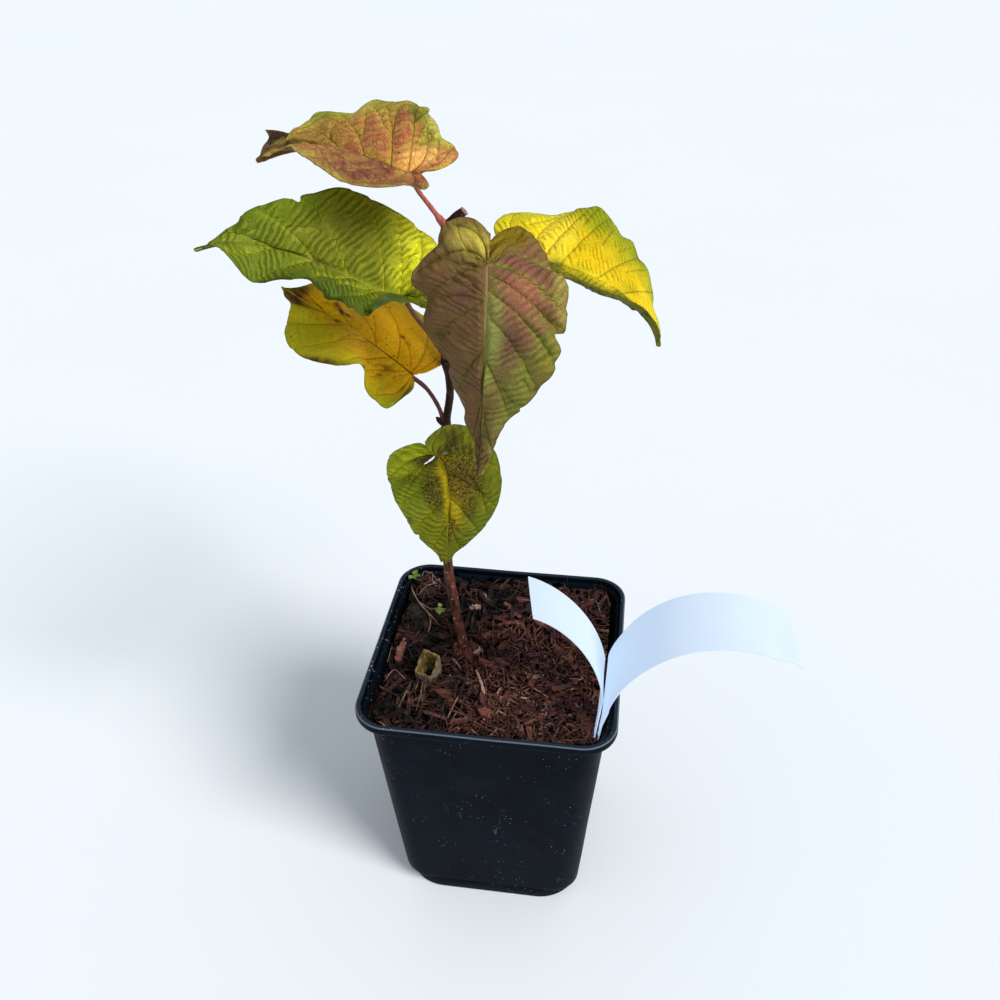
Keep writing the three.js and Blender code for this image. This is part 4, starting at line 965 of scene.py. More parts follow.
buds = []
for height, heading in stem["buds"]:
    a = math.radians(heading)
    foot = stemSpot(height) + np.array([0.7 * math.cos(a), 0.7 * math.sin(a), 0])
    for lean, length, widest in ((0.8, 3.6, 1.15), (0.5, 2.6, 0.9)):
        points, quads = spindle(foot, (lean * math.cos(a), lean * math.sin(a), 0.8), length, widest, 0.4)
        buds.append((points + 0.1 * softNoise(points, 0.7, 77)[:, None], quads))
place(gridPiece("stem_buds", *joinParts(buds), bark), "stem")

# the swollen root crown: knobs that lean out and down round the foot
crown = dict(knobs=16, turn=0.9, height=95.4, out=1.6, rise=1.5)
stemFoot = np.array([stem["route"][0][0], stem["route"][0][1], crown["height"]])
knobs = []
for k in range(crown["knobs"]):
    a = crown["turn"] * k + rng.uniform(-0.3, 0.3)
    near = stemFoot + [crown["out"] * math.cos(a), crown["out"] * math.sin(a), crown["rise"]]
    size = rng.uniform(0.8, 1.5) * (1.2 if math.cos(a) > 0.2 else 0.8)
    axis = (math.cos(a), math.sin(a), rng.uniform(-0.7, 0.1))
    points, quads = spindle(near, axis, 3.6 * size, size, -0.6, 12, 12)
    knobs.append((points + 0.35 * softNoise(points, 0.9, 79)[:, None], quads))
place(gridPiece("stem_crown", *joinParts(knobs), bark), "stem")


def cutMaterial():
    made, tree, where, shader = newMaterial("cutWood")
    shade = blendColour(tree, noise(tree, where, 900, 4), linear("#b98a7c"), linear("#7c4a3e"))
    coat(tree, shader, shade, 0.7)
    bump(tree, shader, noise(tree, where, 1500, 3), 0.4)
    return made


endAxis = unit(stemPath[-1] - stemPath[-14])
disc = stemPath[-1] - endAxis * 0.2
line = disc + endAxis * np.array([0, 0.001, 0.35, 0.5, 0.42, 0.42])[:, None]
points, quads = tube(line + endAxis * 0.01, [0, 1.3, 1.45, 1.15, 0.5, 0], 20, guide=(0, 1, 0.2))
place(gridPiece("stem_cut_end", points, quads, cutMaterial()), "stem")
print("stem made")

# pot
pot = dict(rimHalf=45, baseHalf=33.6, wallTopHalf=41, wallTop=95, height=100, wall=1.2, floor=1.5,
           drainRadius=3.2, drainPlace=19, drainSides=28, cornerSteps=14, sideSteps=10)


def wallHalf(z):
    return pot["baseHalf"] + (pot["wallTopHalf"] - pot["baseHalf"]) * z / pot["wallTop"]


def squareRings(section, cornerSteps, sideSteps):
    # for each [half side, corner radius, height]: four round corners joined by straight sides
    half, radius, z = np.array(section, float).T
    rings = []
    for corner in range(4):
        turn = np.linspace(0, math.pi / 2, cornerSteps) + corner * math.pi / 2
        middle = math.pi / 2 * (corner + 0.5)
        reach = (half - radius) * math.sqrt(2)
        x = reach[:, None] * math.cos(middle) + radius[:, None] * np.cos(turn)[None]
        y = reach[:, None] * math.sin(middle) + radius[:, None] * np.sin(turn)[None]
        rings.append(np.stack([x, y, np.broadcast_to(z[:, None], x.shape)], -1))
    full = []
    for k in range(4):
        first, nextFirst = rings[k], rings[(k + 1) % 4][:, :1]
        share = np.linspace(0, 1, sideSteps + 1)[1:-1][None, :, None]
        full += [first, first[:, -1:] * (1 - share) + nextFirst * share]
    return np.concatenate(full, 1)


def potMaterial():
    made, tree, where, shader = newMaterial("potPlastic")
    x, y, height = axes(tree, where)
    cloud = noise(tree, where, 45, 4, 0.6)
    shade = twoTone(tree, cloud, 0.3, 0.7, "#060b12", "#0d141d")
    haze = between(tree, noise(tree, where, 60, 5, 0.6), 0.52, 0.75, 0.0, 0.3)
    shade = over(tree, haze, shade, "#1e1a22")
    lip = attribute(tree, "lip")  # 1 on the rim's top, 2 on its outer edge, -1 inside
    # painted shade inside the pot, and painted highlights on the rim's top and on its outer edge
    shade = over(tree, between(tree, lip, -0.2, -0.9), shade, "#03060a")
    shade = over(tree, between(tree, lip, 0.3, 1.0), shade, "#222c39")
    shade = over(tree, between(tree, lip, 1.2, 2.0, 0.0, 0.85), shade, "#6c747e")
    webs = times(tree, between(tree, cells(tree, where, 640), 0.26, 0.12),
                 between(tree, noise(tree, where, 210, 3), 0.47, 0.56))
    webs = times(tree, webs, between(tree, x, -0.0405, -0.042))
    webs = times(tree, webs, between(tree, height, 0.0972, 0.0985, 0.0, 0.5))
    shade = over(tree, webs, shade, "#c4cad0")
    streak = stretched(tree, where, (420, 420, 60))
    scuff = between(tree, noise(tree, streak, 1, 3, 0.6, 1.5), 0.64, 0.76, 0.0, 0.3)
    scuff = times(tree, scuff, between(tree, noise(tree, where, 38, 2), 0.5, 0.65))
    shade = over(tree, scuff, shade, "#7b8694")
    dust = between(tree, cells(tree, where, 700), 0.13, 0.06)
    dust = times(tree, dust, between(tree, noise(tree, where, 75, 3), 0.5, 0.62, 0.0, 0.8))
    shade = over(tree, dust, shade, "#b9c0c6")
    grime = between(tree, noise(tree, where, 160, 4), 0.42, 0.62)
    grime = times(tree, grime, between(tree, height, 0.086, 0.0975))
    fromMiddle = highest(tree, calc(tree, "ABSOLUTE", x), calc(tree, "ABSOLUTE", y))
    inside = between(tree, fromMiddle, 0.0412, 0.0402, 0.0, 0.5)
    shade = over(tree, times(tree, grime, inside), shade, "#2b1a15")
    coat(tree, shader, shade, between(tree, cloud, 0.2, 0.8, 0.36, 0.52), 0.03)
    shader.inputs["Specular Tint"].default_value = (0.6, 0.78, 1.0, 1)
    bump(tree, shader, calc(tree, "ADD", noise(tree, where, 800, 3), times(tree, scuff, 2)), 0.12, 0.0002)
    return made


def inner(z):
    return wallHalf(z) - pot["wall"]


lipTop, lipFoot, rim = pot["height"] - 1.4, pot["height"] - 3.1, pot["rimHalf"]
# [half side, corner radius, height]: the foot with the shelf cut into its corners, then the wall
section = [
    (0, 0, 0), (20, 8, 0), (33, 15.3, 0), (33.6, 15.3, 0.25), (33.9, 15.4, 0.8), (34.15, 17.6, 5.3),
    (34.05, 17.4, 5.7), (34, 14, 5.9), (wallHalf(6), 10, 6.1), (wallHalf(7.2), 8.8, 7.2),
    (wallHalf(9), 8.4, 9),
]
section += [(wallHalf(z), 8.3 + z / 120, z) for z in np.linspace(13, 94, 13)]
section += [  # the step under the lip, and the lip up to its outer edge
    (41.1, 9, 95.6), (41.6, 9.6, lipTop - 1), (42.2, 9.9, lipTop - 0.4), (rim - 1.7, 11, lipTop - 0.3),
    (rim - 1.2, 11, lipTop - 0.6), (rim - 1.1, 11, lipFoot + 0.15), (rim - 0.9, 11.2, lipFoot),
    (rim - 0.35, 11.8, lipFoot), (rim - 0.1, 12, lipFoot + 0.25), (rim, 12, lipFoot + 0.7), (rim, 12, 99.4),
]
edge = len(section)
section += [  # over the lip, then down the inside to the floor
    (rim - 0.1, 11.9, 99.75), (rim - 0.3, 11.8, 99.95), (rim - 0.6, 11.6, 100), (rim - 1.5, 10.9, 100),
    (rim - 1.8, 10.7, 99.85), (rim - 2.0, 10.5, 99.3), (rim - 2.6, 10, 97.6), (rim - 4.0, 9.2, 96),
    (inner(94) + 0.3, 8.2, 95), (inner(93), 8, 93),
]
section += [(inner(z), 8, z) for z in (80, 60, 40, 20)]
section += [(inner(6), 8, 6.4), (inner(4), 11, 4), (inner(2) - 0.8, 12, pot["floor"])]
section += [(20, 8, pot["floor"]), (0, 0, pot["floor"])]
# lip marks the rings of the rim's top and outer edge for the painted highlights, and those inside for the
# painted shade
lip = np.zeros(len(section))
lip[edge - 1:edge + 5] = 0.3, 1.7, 2, 1.2, 1, 0.4
lip[edge + 5:] = -1
rings = squareRings(section, pot["cornerSteps"], pot["sideSteps"])
wobble = 0.12 * softNoise(rings, 22, 81)[..., None] * unit(rings * (1, 1, 0))
wobble *= smoothStep(rings[..., 2:3], 4, 30)
rings = rings + wobble
lip = np.repeat(lip, rings.shape[1])
potQuads = gridQuads(rings.shape[0], rings.shape[1], True)[:, ::-1]
potPiece = gridPiece("pot_shell", rings.reshape(-1, 3), potQuads, potMaterial(), {"lip": lip}, sharp=50)

# a drill for each drain hole: a round bar, closed at both ends, that is cut out of the floor
turn = np.linspace(0, 2 * math.pi, pot["drainSides"], endpoint=False)
circle = np.stack([np.cos(turn), np.sin(turn), turn * 0], 1) * pot["drainRadius"]
for x in (-1, 1):
    for y in (-1, 1):
        line = np.array([[x * pot["drainPlace"], y * pot["drainPlace"], z] for z in (-3, -3, 5, 5)], float)
        points = line[:, None] + circle * np.array([0, 1, 1, 0])[:, None, None]
        drillQuads = gridQuads(4, pot["drainSides"], True)[:, ::-1]
        drill = gridPiece("drill", points.reshape(-1, 3), drillQuads, potPiece.data.materials[0])
        cut = potPiece.modifiers.new("drain", "BOOLEAN")
        cut.object, cut.operation, cut.solver = drill, "DIFFERENCE", "EXACT"
        bpy.context.view_layer.update()
        drained = potPiece.evaluated_get(bpy.context.evaluated_depsgraph_get())
        drainedMesh = bpy.data.meshes.new_from_object(drained)
        potPiece.modifiers.clear()
        potPiece.data = drainedMesh
        bpy.data.objects.remove(drill)
potPiece.data.name = "pot_shell"
place(potPiece, "pot", "pot")
print("pot made", len(potPiece.data.polygons))

# soil
soil = dict(level=94.6, slope=0.06, edgeDip=1.2, reach=40.5)


def soilHeight(x, y):
    # a slope up to the back, low waves and a slight dip along the walls
    waves = 0.7 * np.sin(0.17 * x + 0.9) * np.cos(0.15 * y - 0.4) + 0.5 * np.sin(0.33 * x - 0.27 * y)
    edge = np.maximum(np.abs(x), np.abs(y)) / pot["rimHalf"]
    return soil["level"] + soil["slope"] * y + waves - soil["edgeDip"] * edge**6


def insideWall(points, clear=0.35):
    # draws points back inside the pot's inner wall, round corners too
    half = (wallHalf(np.minimum(points[..., 2], 97)) - pot["wall"] - clear)[..., None]
    xy = np.clip(points[..., :2], -half, half)
    core = half - 8
    past = np.abs(xy) - core
    both = (past > 0).all(-1, keepdims=True)
    length = np.linalg.norm(np.maximum(past, 0), axis=-1, keepdims=True)
    shrink = np.where(both & (length > 8), 8 / np.maximum(length, 1e-6), 1)
    xy = np.sign(xy) * (np.where(both, core + np.maximum(past, 0) * shrink, np.abs(xy)))
    return np.concatenate([xy, points[..., 2:]], -1)


# the last argument sets the strength of the painted shade
def soilMaterial(name, dark, light, pale, shadeStrength=1.0):
    made, tree, where, shader = newMaterial(name)
    tone = attribute(tree, "tone")
    shade = twoTone(tree, tone, 0.0, 0.75, dark, light)
    shade = over(tree, between(tree, tone, 0.82, 1.0), shade, pale)
    grain = noise(tree, where, 900, 5, 0.65)
    shade = over(tree, between(tree, grain, 0.42, 0.68, 0.0, 0.6), shade, "#140806")
    shade = over(tree, between(tree, noise(tree, where, 130, 2), 0.5, 0.66, 0.0, 0.45), shade, "#4c2430")

    # painted shade: the soil is darker at the left and the back, where the leaves' shadow falls, and at the
    # front, and painted shade in the gaps darkens the pieces low in the heap
    x, y, _ = axes(tree, where)
    paintedShade = calc(tree, "ADD", between(tree, x, 0.014, -0.026, 0.0, 0.95),
                between(tree, y, 0.0, 0.03, 0.0, 0.62), clamp=True)
    paintedShade = times(tree, paintedShade, between(tree, noise(tree, where, 110, 3), 0.36, 0.6, 0.55 * shadeStrength, shadeStrength))
    paintedShade = highest(tree, paintedShade, between(tree, y, -0.012, -0.03, 0.0, 0.36 * shadeStrength))
    shade = over(tree, paintedShade, shade, "#0a0404")
    # painted shade in the gaps: the lower a piece lies in the heap, the darker it is
    gapShade = between(tree, attribute(tree, "rise"), -0.2, 2.6, 0.2, 1.25)
    shade = blendColour(tree, 1.0, shade, gapShade, "MULTIPLY")
    glint = times(tree, between(tree, cells(tree, where, 850), 0.24, 0.1), between(tree, grain, 0.5, 0.42))
    glint = times(tree, glint, between(tree, paintedShade, 0.0, 0.9, 0.6, 0.25))
    shade = over(tree, glint, shade, "#c09a8c")
    coat(tree, shader, shade, between(tree, grain, 0.3, 0.7, 0.62, 0.9), 0.25)
    bump(tree, shader, noise(tree, where, 1600, 5, 0.7), 0.6, 0.0003)
    return made


def scatter(count, around=None):
    # random places on the soil's top, or in a round heap of places [x, y, spread]
    reach = soil["reach"]
    x, y = rng.uniform(-reach, reach, (2, count))
    if around:
        x = np.clip(rng.normal(around[0], around[2], count), -reach, reach)
        y = np.clip(rng.normal(around[1], around[2], count), -reach, reach)
    return np.stack([x, y, soilHeight(x, y)], 1)


def strips(centres, length, width, thick, heading, tilt, lift, stations=6, wild=0.25):
    # Slabs with ragged outlines: a four-cornered section carried along a bent line, its width drawn at random
    # at each station, and closed by sections of no size at both ends.
    count = len(centres)
    s = np.linspace(-0.5, 0.5, stations)
    s = np.r_[s[0], s, s[-1]]
    size = np.r_[0, np.ones(stations), 0]
    along = np.stack([np.cos(heading) * np.cos(tilt), np.sin(heading) * np.cos(tilt), np.sin(tilt)], 1)
    side = np.stack([-np.sin(heading), np.cos(heading), rng.uniform(-0.5, 0.5, count)], 1)
    side = unit(side - np.sum(side * along, 1)[:, None] * along)
    up = np.cross(along, side)
    bend = rng.uniform(-wild, wild, (count, 1)) * length[:, None] * (s**2 * 4)[None]
    curl = rng.uniform(-0.5 * wild, wild, (count, 1)) * length[:, None] * (s**2 * 2)[None]
    ragged = rng.uniform(0.45, 1.0, (count, len(s)))
    ragged[:, 1] *= rng.uniform(0.1, 0.8, count)
    ragged[:, -2] *= rng.uniform(0.1, 0.8, count)
    ragged[:, 0], ragged[:, -1] = ragged[:, 1], ragged[:, -2]
    line = (centres + [0, 0, 1] * lift[:, None])[:, None]
    line = line + along[:, None] * (length[:, None] * s[None])[..., None]
    line = line + side[:, None] * bend[..., None] + up[:, None] * curl[..., None]
    corners = []
    for a, b in ((-1, -1), (1, -0.8), (0.9, 1), (-0.85, 0.8)):
        wide = 0.5 * a * width[:, None] * ragged * size[None]
        tall = 0.5 * b * thick[:, None] * size[None] * rng.uniform(0.6, 1.0, (count, len(s)))
        corners.append(line + side[:, None] * wide[..., None] + up[:, None] * tall[..., None])
    points = np.stack(corners, 2)
    rows, cols = len(s), 4
    one = gridQuads(rows, cols, True)
    quads = (one[None] + (np.arange(count) * rows * cols)[:, None, None]).reshape(-1, 4)
    return insideWall(points.reshape(-1, 3)), quads, rows * cols


def soilPiece(name, made, tone, material):
    points, quads, each = made
    rise = points[:, 2] - soilHeight(points[:, 0], points[:, 1])
    layers = {"tone": np.repeat(tone, each), "rise": rise}
    place(gridPiece(name, points, quads, material, layers, smooth=False), "soil")


# the bed under the chips: a nest of square rings on the soil's height, with a skirt down the wall
shares = np.linspace(1, 0, 46)
bedRings = squareRings([((wallHalf(93) - 1.55) * s, 7.7 * s, 0) for s in shares], 8, 14)
bedRings[..., 2] = soilHeight(bedRings[..., 0], bedRings[..., 1]) - 1.5
bedRings[..., 2] += 0.8 * softNoise(bedRings, 2.2, 91) + 0.5 * softNoise(bedRings, 0.9, 92)
skirt = squareRings([(0, 0, 4), (wallHalf(4) - 3, 7, 4), (wallHalf(60) - 1.7, 7.7, 60)], 8, 14)
bed = np.concatenate([skirt, bedRings])
# the bed's near-black colours are the soil's own dark and painted shade in the gaps between the chips; it has
# no rise, so the painted shade of low pieces darkens it further
bedMaterial = soilMaterial("soilBed", "#050202", "#160a08", "#2a1612")
bedQuads = gridQuads(bed.shape[0], bed.shape[1], True)[:, ::-1]
bedTone = {"tone": (0.3 + 0.3 * softNoise(bed, 1.5, 93)).ravel()}
place(gridPiece("soil_bed", bed.reshape(-1, 3), bedQuads, bedMaterial, bedTone), "soil", "soil")

soilColours = {
    "barkChips": ("#140808", "#7a4538", "#c49c88"),
    "coirFibres": ("#2a1411", "#805646", "#bf9e8a"),
    "fineBark": ("#241310", "#7f5342", "#c0a08c"),
}
# ranges in mm for each kind of loose piece; tones are the two powers of a beta draw, tilt a spread in radians
loose = {
    "soil_bark_chips": dict(
        count=480, length=(3, 14), width=(1.0, 3.8), thick=(0.5, 1.4), tilt=0.34, lift=(-0.9, 2.2),
        stations=7, wild=0.06, tones=(1.1, 1.9), colours="barkChips"),
    "soil_slivers": dict(
        count=1500, length=(2.5, 9), width=(0.35, 1.2), thick=(0.25, 0.6), tilt=0.36, lift=(-0.6, 2.4),
        stations=6, wild=0.1, tones=(1.4, 1.9), colours="barkChips"),
    "soil_fibres": dict(
        count=560, length=(4, 14), width=(0.14, 0.34), thick=(0.12, 0.28), tilt=0.2, lift=(0.4, 2.8),
        stations=8, wild=0.3, tones=(1.7, 1.5), colours="coirFibres"),
    "soil_crumbs": dict(
        count=1500, length=(0.6, 1.8), width=(0.5, 1.3), thick=(0.4, 1.0), tilt=0.5, lift=(-0.6, 1.4),
        stations=3, wild=0.1, tones=(1.3, 2.2), colours="barkChips"),
    "soil_fines": dict(
        count=1900, length=(0.8, 4.2), width=(0.3, 1.0), thick=(0.2, 0.6), tilt=0.45, lift=(0.2, 2.4),
        stations=4, wild=0.1, tones=(1.6, 1.6), colours="fineBark", heap=(16, -24, 15)),
}
soilFinishes = {name: soilMaterial(name, *colours) for name, colours in soilColours.items()}
for name, kind in loose.items():
    n = kind["count"]
    slabs = strips(
        scatter(n, kind.get("heap")), rng.uniform(*kind["length"], n), rng.uniform(*kind["width"], n),
        rng.uniform(*kind["thick"], n), rng.uniform(0, math.pi, n), rng.normal(0, kind["tilt"], n),
        rng.uniform(*kind["lift"], n), kind["stations"], kind["wild"])
    soilPiece(name, slabs, rng.beta(*kind["tones"], n), soilFinishes[kind["colours"]])

# the pieces that stand out in the bark: [x, y, length, width, thickness, heading, tone]
named = np.array([
    (31, -23, 21, 4.4, 1.6, -1.03, 0.36), (-36, -3.5, 11, 3.4, 2.4, 1.5, 0.78),
    (-36.4, -1.5, 7, 2.6, 3.4, 1.3, 0.86), (15.2, -9.4, 5, 3, 1.2, 0.3, 0.97),
    (-12.5, 22.3, 4.5, 2.8, 1.2, 0.2, 0.98), (-8, 0.6, 4, 2.8, 1.6, 1.0, 0.95),
    (-30.4, 36.7, 3.4, 2.2, 1.2, 0.6, 1.0), (2, 24, 11, 3, 1.2, -0.8, 0.85), (-3, -6, 8, 3.4, 1.2, -0.5, 0.6),
    (8, 14, 12, 2.4, 1.2, -1.1, 0.55), (-8, -32, 10, 3, 1, 0.2, 0.4), (22, 5, 9, 2.6, 1, -0.9, 0.5),
    (4, -22, 8, 2.2, 1, 0.5, 0.62), (-18, -31, 9, 2.2, 1, -0.3, 0.5), (-4, 10, 8, 2.4, 1, 0.9, 0.66),
])
namedX, namedY, namedLength, namedWidth, namedThick, namedHeading, namedTone = named.T
centres = np.stack([namedX, namedY, soilHeight(namedX, namedY)], 1)
tilts, lifts = np.full(len(named), 0.03), np.full(len(named), 1.5)
slabs = strips(centres, namedLength, namedWidth, namedThick, namedHeading, tilts, lifts, 14, 0.03)
# the long bark gets 0.3 of the painted shade
longBark = soilMaterial("longBark", "#2c1410", "#7c4a3c", "#c4a490", 0.3)
soilPiece("soil_long_bark", slabs, namedTone, longBark)
print("soil made")

# old hollow stem, its roots, straws, seedlings and dead leaves
stub = dict(place=(-23.9, -12.4, 95.4), turn=(0.3, 0.05, -0.28), half=(3.5, 3.9), wall=0.9, length=14.5,
            foot=-5, sides=72, roots=15)


def stubTurned(points):
    # turns the piece round, leans it to the front and to the left, then sets it in the soil
    lean = Matrix.Rotation(stub["turn"][1], 3, "Y") @ Matrix.Rotation(stub["turn"][0], 3, "X")
    lean = lean @ Matrix.Rotation(stub["turn"][2], 3, "Z")
    return points @ np.array(lean).T + stub["place"]


def stubMaterial(name, dark, light):
    made, tree, where, shader = newMaterial(name)
    streak = stretched(tree, where, (1000, 1000, 190), (0.42, -0.22, 0))
    shade = twoTone(tree, noise(tree, streak, 1, 5), 0.35, 0.65, dark, light)
    shade = over(tree, between(tree, noise(tree, where, 350, 4), 0.5, 0.68, 0.0, 0.7), shade, "#3d2413")
    bleached = twoTone(tree, noise(tree, streak, 2.2, 4), 0.3, 0.7, "#4a3a32", "#a08c7e")
    shade = blendColour(tree, times(tree, attribute(tree, "outside"), 0.85), shade, bleached)
    coat(tree, shader, shade, 0.85, 0.2)
    bump(tree, shader, noise(tree, streak, 1.3, 6, 0.7), 0.9, 0.0005)
    return made


# the wall's profile: [share from the outside in, height], then a rounded square ring carried round it
top = stub["length"] + stub["foot"]
profile = np.array([
    (1.5, stub["foot"]), (0, stub["foot"]), (-0.1, -1), (-0.1, 3), (0, 7), (0, top - 0.5), (0.12, top),
    (0.88, top), (1, top - 0.4), (1.05, 5), (1.2, 2), (1.5, 1.2), (3.0, 1), (3.0, 0), (1.5, stub["foot"]),
])
profile[:, 0] *= stub["wall"]
turn = np.linspace(0, 2 * math.pi, stub["sides"], endpoint=False)
squarish = (np.abs(np.cos(turn)) ** 8 + np.abs(np.sin(turn)) ** 8) ** -0.125
ringX, ringY = squarish * np.cos(turn), squarish * np.sin(turn)
shellX, shellY = ((half - profile[:, :1]) * ring for half, ring in zip(stub["half"], (ringX, ringY)))
shell = np.stack([shellX, shellY, np.broadcast_to(profile[:, 1:], shellX.shape)], -1)
torn = softNoise(np.stack([2 * np.cos(turn), 2 * np.sin(turn), turn * 0], 1), 0.7, 95)
torn = 0.4 * torn + 2.3 * ringY - 2.6  # the rim is ragged, and higher at the back
shell[..., 2] += torn[None] * smoothStep(shell[..., 2], 3, top)
ridges = 0.22 * softNoise(np.stack([shell[..., 0], shell[..., 1], 0.12 * shell[..., 2]], -1), 0.8, 96)
shell[..., :2] *= 1 + ridges[..., None] / 3.6
outside = np.repeat(np.r_[np.ones(6), 0.3, np.zeros(len(profile) - 7)], stub["sides"])
shellQuads = gridQuads(len(profile), stub["sides"], True)[:, ::-1]
deadWood = stubMaterial("deadWood", "#4a3a1c", "#8e7a40")
stubShell = gridPiece("wood_stub_shell", stubTurned(shell.reshape(-1, 3)), shellQuads, deadWood,
                      {"outside": outside}, sharp=60)
place(stubShell, "wood_stub", "wood_stub")


def strands(lines, radii, sides=6):
    # tubes along smooth lines, tapering to nothing at both ends, joined in one mesh
    s = np.linspace(0, 1, 24)
    taper = np.minimum(1, 6 * s * (1 - s) + 0.25) * (s > 0) * (s < 1)
    tubes = [tube(route(line, len(s)), radius * taper, sides, guide=(0.31, 0.17, 0.93))
             for line, radius in zip(lines, radii)]
    return joinParts(tubes)


# thin roots hang from the stub's foot, forwards over the soil
rootLines, rootRadii = [], []
for k in range(stub["roots"]):
    across = rng.uniform(-3.6, 3.2)
    foot = np.array([stub["place"][0] + across - 2, stub["place"][1] - 5.6 + 0.4 * across, 96])
    foot[2] += rng.uniform(-0.6, 2)
    reach = rng.uniform(3, 9) if k > 2 else 13 - 2 * k
    far = foot + [0.3 * across + rng.uniform(-2.6, 2.2), -reach, -1.2 - 0.12 * reach - rng.uniform(0, 1)]
    mid = (foot + far) / 2 + rng.uniform(-1, 1, 3) + [0, 0, 0.6]
    rootLines.append([foot, mid, far])
    rootRadii.append(rng.uniform(0.1, 0.26) if k > 2 else 0.34)
points, quads = strands(rootLines, rootRadii)
paleRoots = stubMaterial("paleRoots", "#38261e", "#7c6250")
place(gridPiece("wood_stub_roots", insideWall(points), quads, paleRoots), "wood_stub")


def strawMaterial(name, colour, tone):
    made, tree, where, shader = newMaterial(name)
    shade = twoTone(tree, noise(tree, where, 500, 4), 0.35, 0.7, colour, tone)
    coat(tree, shader, shade, 0.8, 0.08)
    bump(tree, shader, noise(tree, where, 1800, 3), 0.3)
    return made


# [radius, then the points of each line]: a dry branched stalk, thin hairs by the wall and loose straws
straws = [
    (0.3, (-41, 33.6, 98.4), (-35, 22.4, 99), (-27.4, 13.9, 98.5), (-23.8, 10.9, 97.5)),
    (0.22, (-35, 22.4, 99), (-29.6, 18.9, 98.7), (-25.7, 19.4, 99), (-22.9, 18.6, 98)),
    (0.2, (-36, 26, 98.6), (-33, 31, 100), (-28, 36, 98)),
    (0.26, (-30, 17, 98.8), (-28, 12, 98.4), (-28, 7, 97)),
    (0.26, (-38, 38, 97), (-36.5, 40, 101), (-31, 38.5, 98)),
    (0.2, (-37, 37, 97), (-33, 39, 100.5), (-32, 35, 98)),
    (0.11, (-40.4, 5.6, 97), (-39.6, -4.1, 98), (-39.4, -11, 97.6), (-40, -8.9, 98.6)),
    (0.16, (-39, -17, 94.6), (-36.5, -13.6, 96.6), (-33.8, -15.3, 96.6), (-31.4, -16.5, 95)),
    (0.26, (-13.6, -31.6, 93.6), (-11.6, -25.2, 96), (-10.1, -17.2, 95)),
    (0.26, (-9.4, -17, 96), (-9, -14, 96), (-11, -13, 95)),
    (0.3, (-39, -36.9, 94), (-35.8, -38.4, 96), (-32.9, -38.8, 94)),
    (0.18, (20, 16, 96), (26, 12, 98.6), (31, 15, 96.5)),
    (0.18, (25, 30, 97), (33, 31, 99.6), (36, 26, 97)),
    (0.16, (2, 4, 95), (8, 8, 97.4), (12, 2, 95)),
    (0.16, (-6, -6, 94.6), (2, -8, 97), (4, -14, 94.6)),
    (0.14, (18, -18, 94), (20, -24, 96.4), (15, -28, 94)),
]
points, quads = strands([line[1:] for line in straws], [line[0] for line in straws])
straw = strawMaterial("straw", "#66503e", "#9c8474")
place(gridPiece("soil_straws", insideWall(points), quads, straw), "soil")


def smallLeaves(table):
    # oval leaflets: width sin(pi s^0.8), the sides raised by t^2 and the tip drooping by s^2, with the rims
    # of the upper and the lower sheet joined. Each is [x, y, z, heading, rise, length, width].
    rows, cols = 12, 7
    total = rows * cols
    s, t = np.meshgrid(np.linspace(0, 1, rows), np.linspace(-1, 1, cols), indexing="ij")
    sheetQuads = gridQuads(rows, cols)
    index = np.arange(total).reshape(rows, cols)
    rim = np.r_[index[0], index[1:, -1], index[-1, -2::-1], index[-2:0:-1, 0]]
    after = np.roll(rim, -1)
    wall = np.stack([after, rim, rim + total, after + total], 1)[:, ::-1]
    quads = np.vstack([sheetQuads, sheetQuads[:, ::-1] + total, wall])
    leaflets = []
    for x, y, z, heading, rise, length, width in table:
        along = direction(heading, rise)
        right = unit(np.cross(along, [0, 0, 1]))
        up = np.cross(right, along)
        wide = width * np.sin(math.pi * s**0.8) * t
        dip = 0.25 * width * t * t - 0.3 * length * s * s
        sheet = np.array([x, y, z]) + along * (s * length)[..., None]
        sheet = sheet + right * wide[..., None] + up * dip[..., None]
        both = np.stack([sheet + up * 0.07, sheet - up * 0.07])
        leaflets.append((both.reshape(-1, 3), quads))
    return joinParts(leaflets)


def seedlingMaterial():
    made, tree, where, shader = newMaterial("seedlingGreen")
    shade = twoTone(tree, noise(tree, where, 400, 3), 0.3, 0.7, "#4a5c1e", "#7a9430")
    coat(tree, shader, shade, 0.55)
    bump(tree, shader, noise(tree, where, 1500, 3), 0.3)
    return made


points, quads = smallLeaves([
    (-40, 37, 99.4, 60, 10, 4.4, 1.7), (-40, 36.6, 99.4, -20, 30, 3.2, 1.4),
    (-40.4, 38, 99.2, 150, 20, 3, 1.2), (-26.6, 20, 98.2, 20, 15, 4, 1.4),
    (-25, 18.5, 98.2, 100, 20, 2.6, 1.0), (-26, 21, 98, 200, 20, 2.4, 0.9),
])
place(gridPiece("soil_seedling", points, quads, seedlingMaterial()), "soil")
points, quads = smallLeaves([
    (-34.6, 25, 97.4, -215, 12, 12, 3.4), (-36, 22, 98.4, 14, -4, 13, 3.8),
    (-31.5, 15.5, 97.6, 20, 0, 9, 1.7),
])
place(gridPiece("soil_dead_leaves", points, quads, strawMaterial("deadLeaf", "#180e10", "#3a3428")), "soil")
print("small growth made")

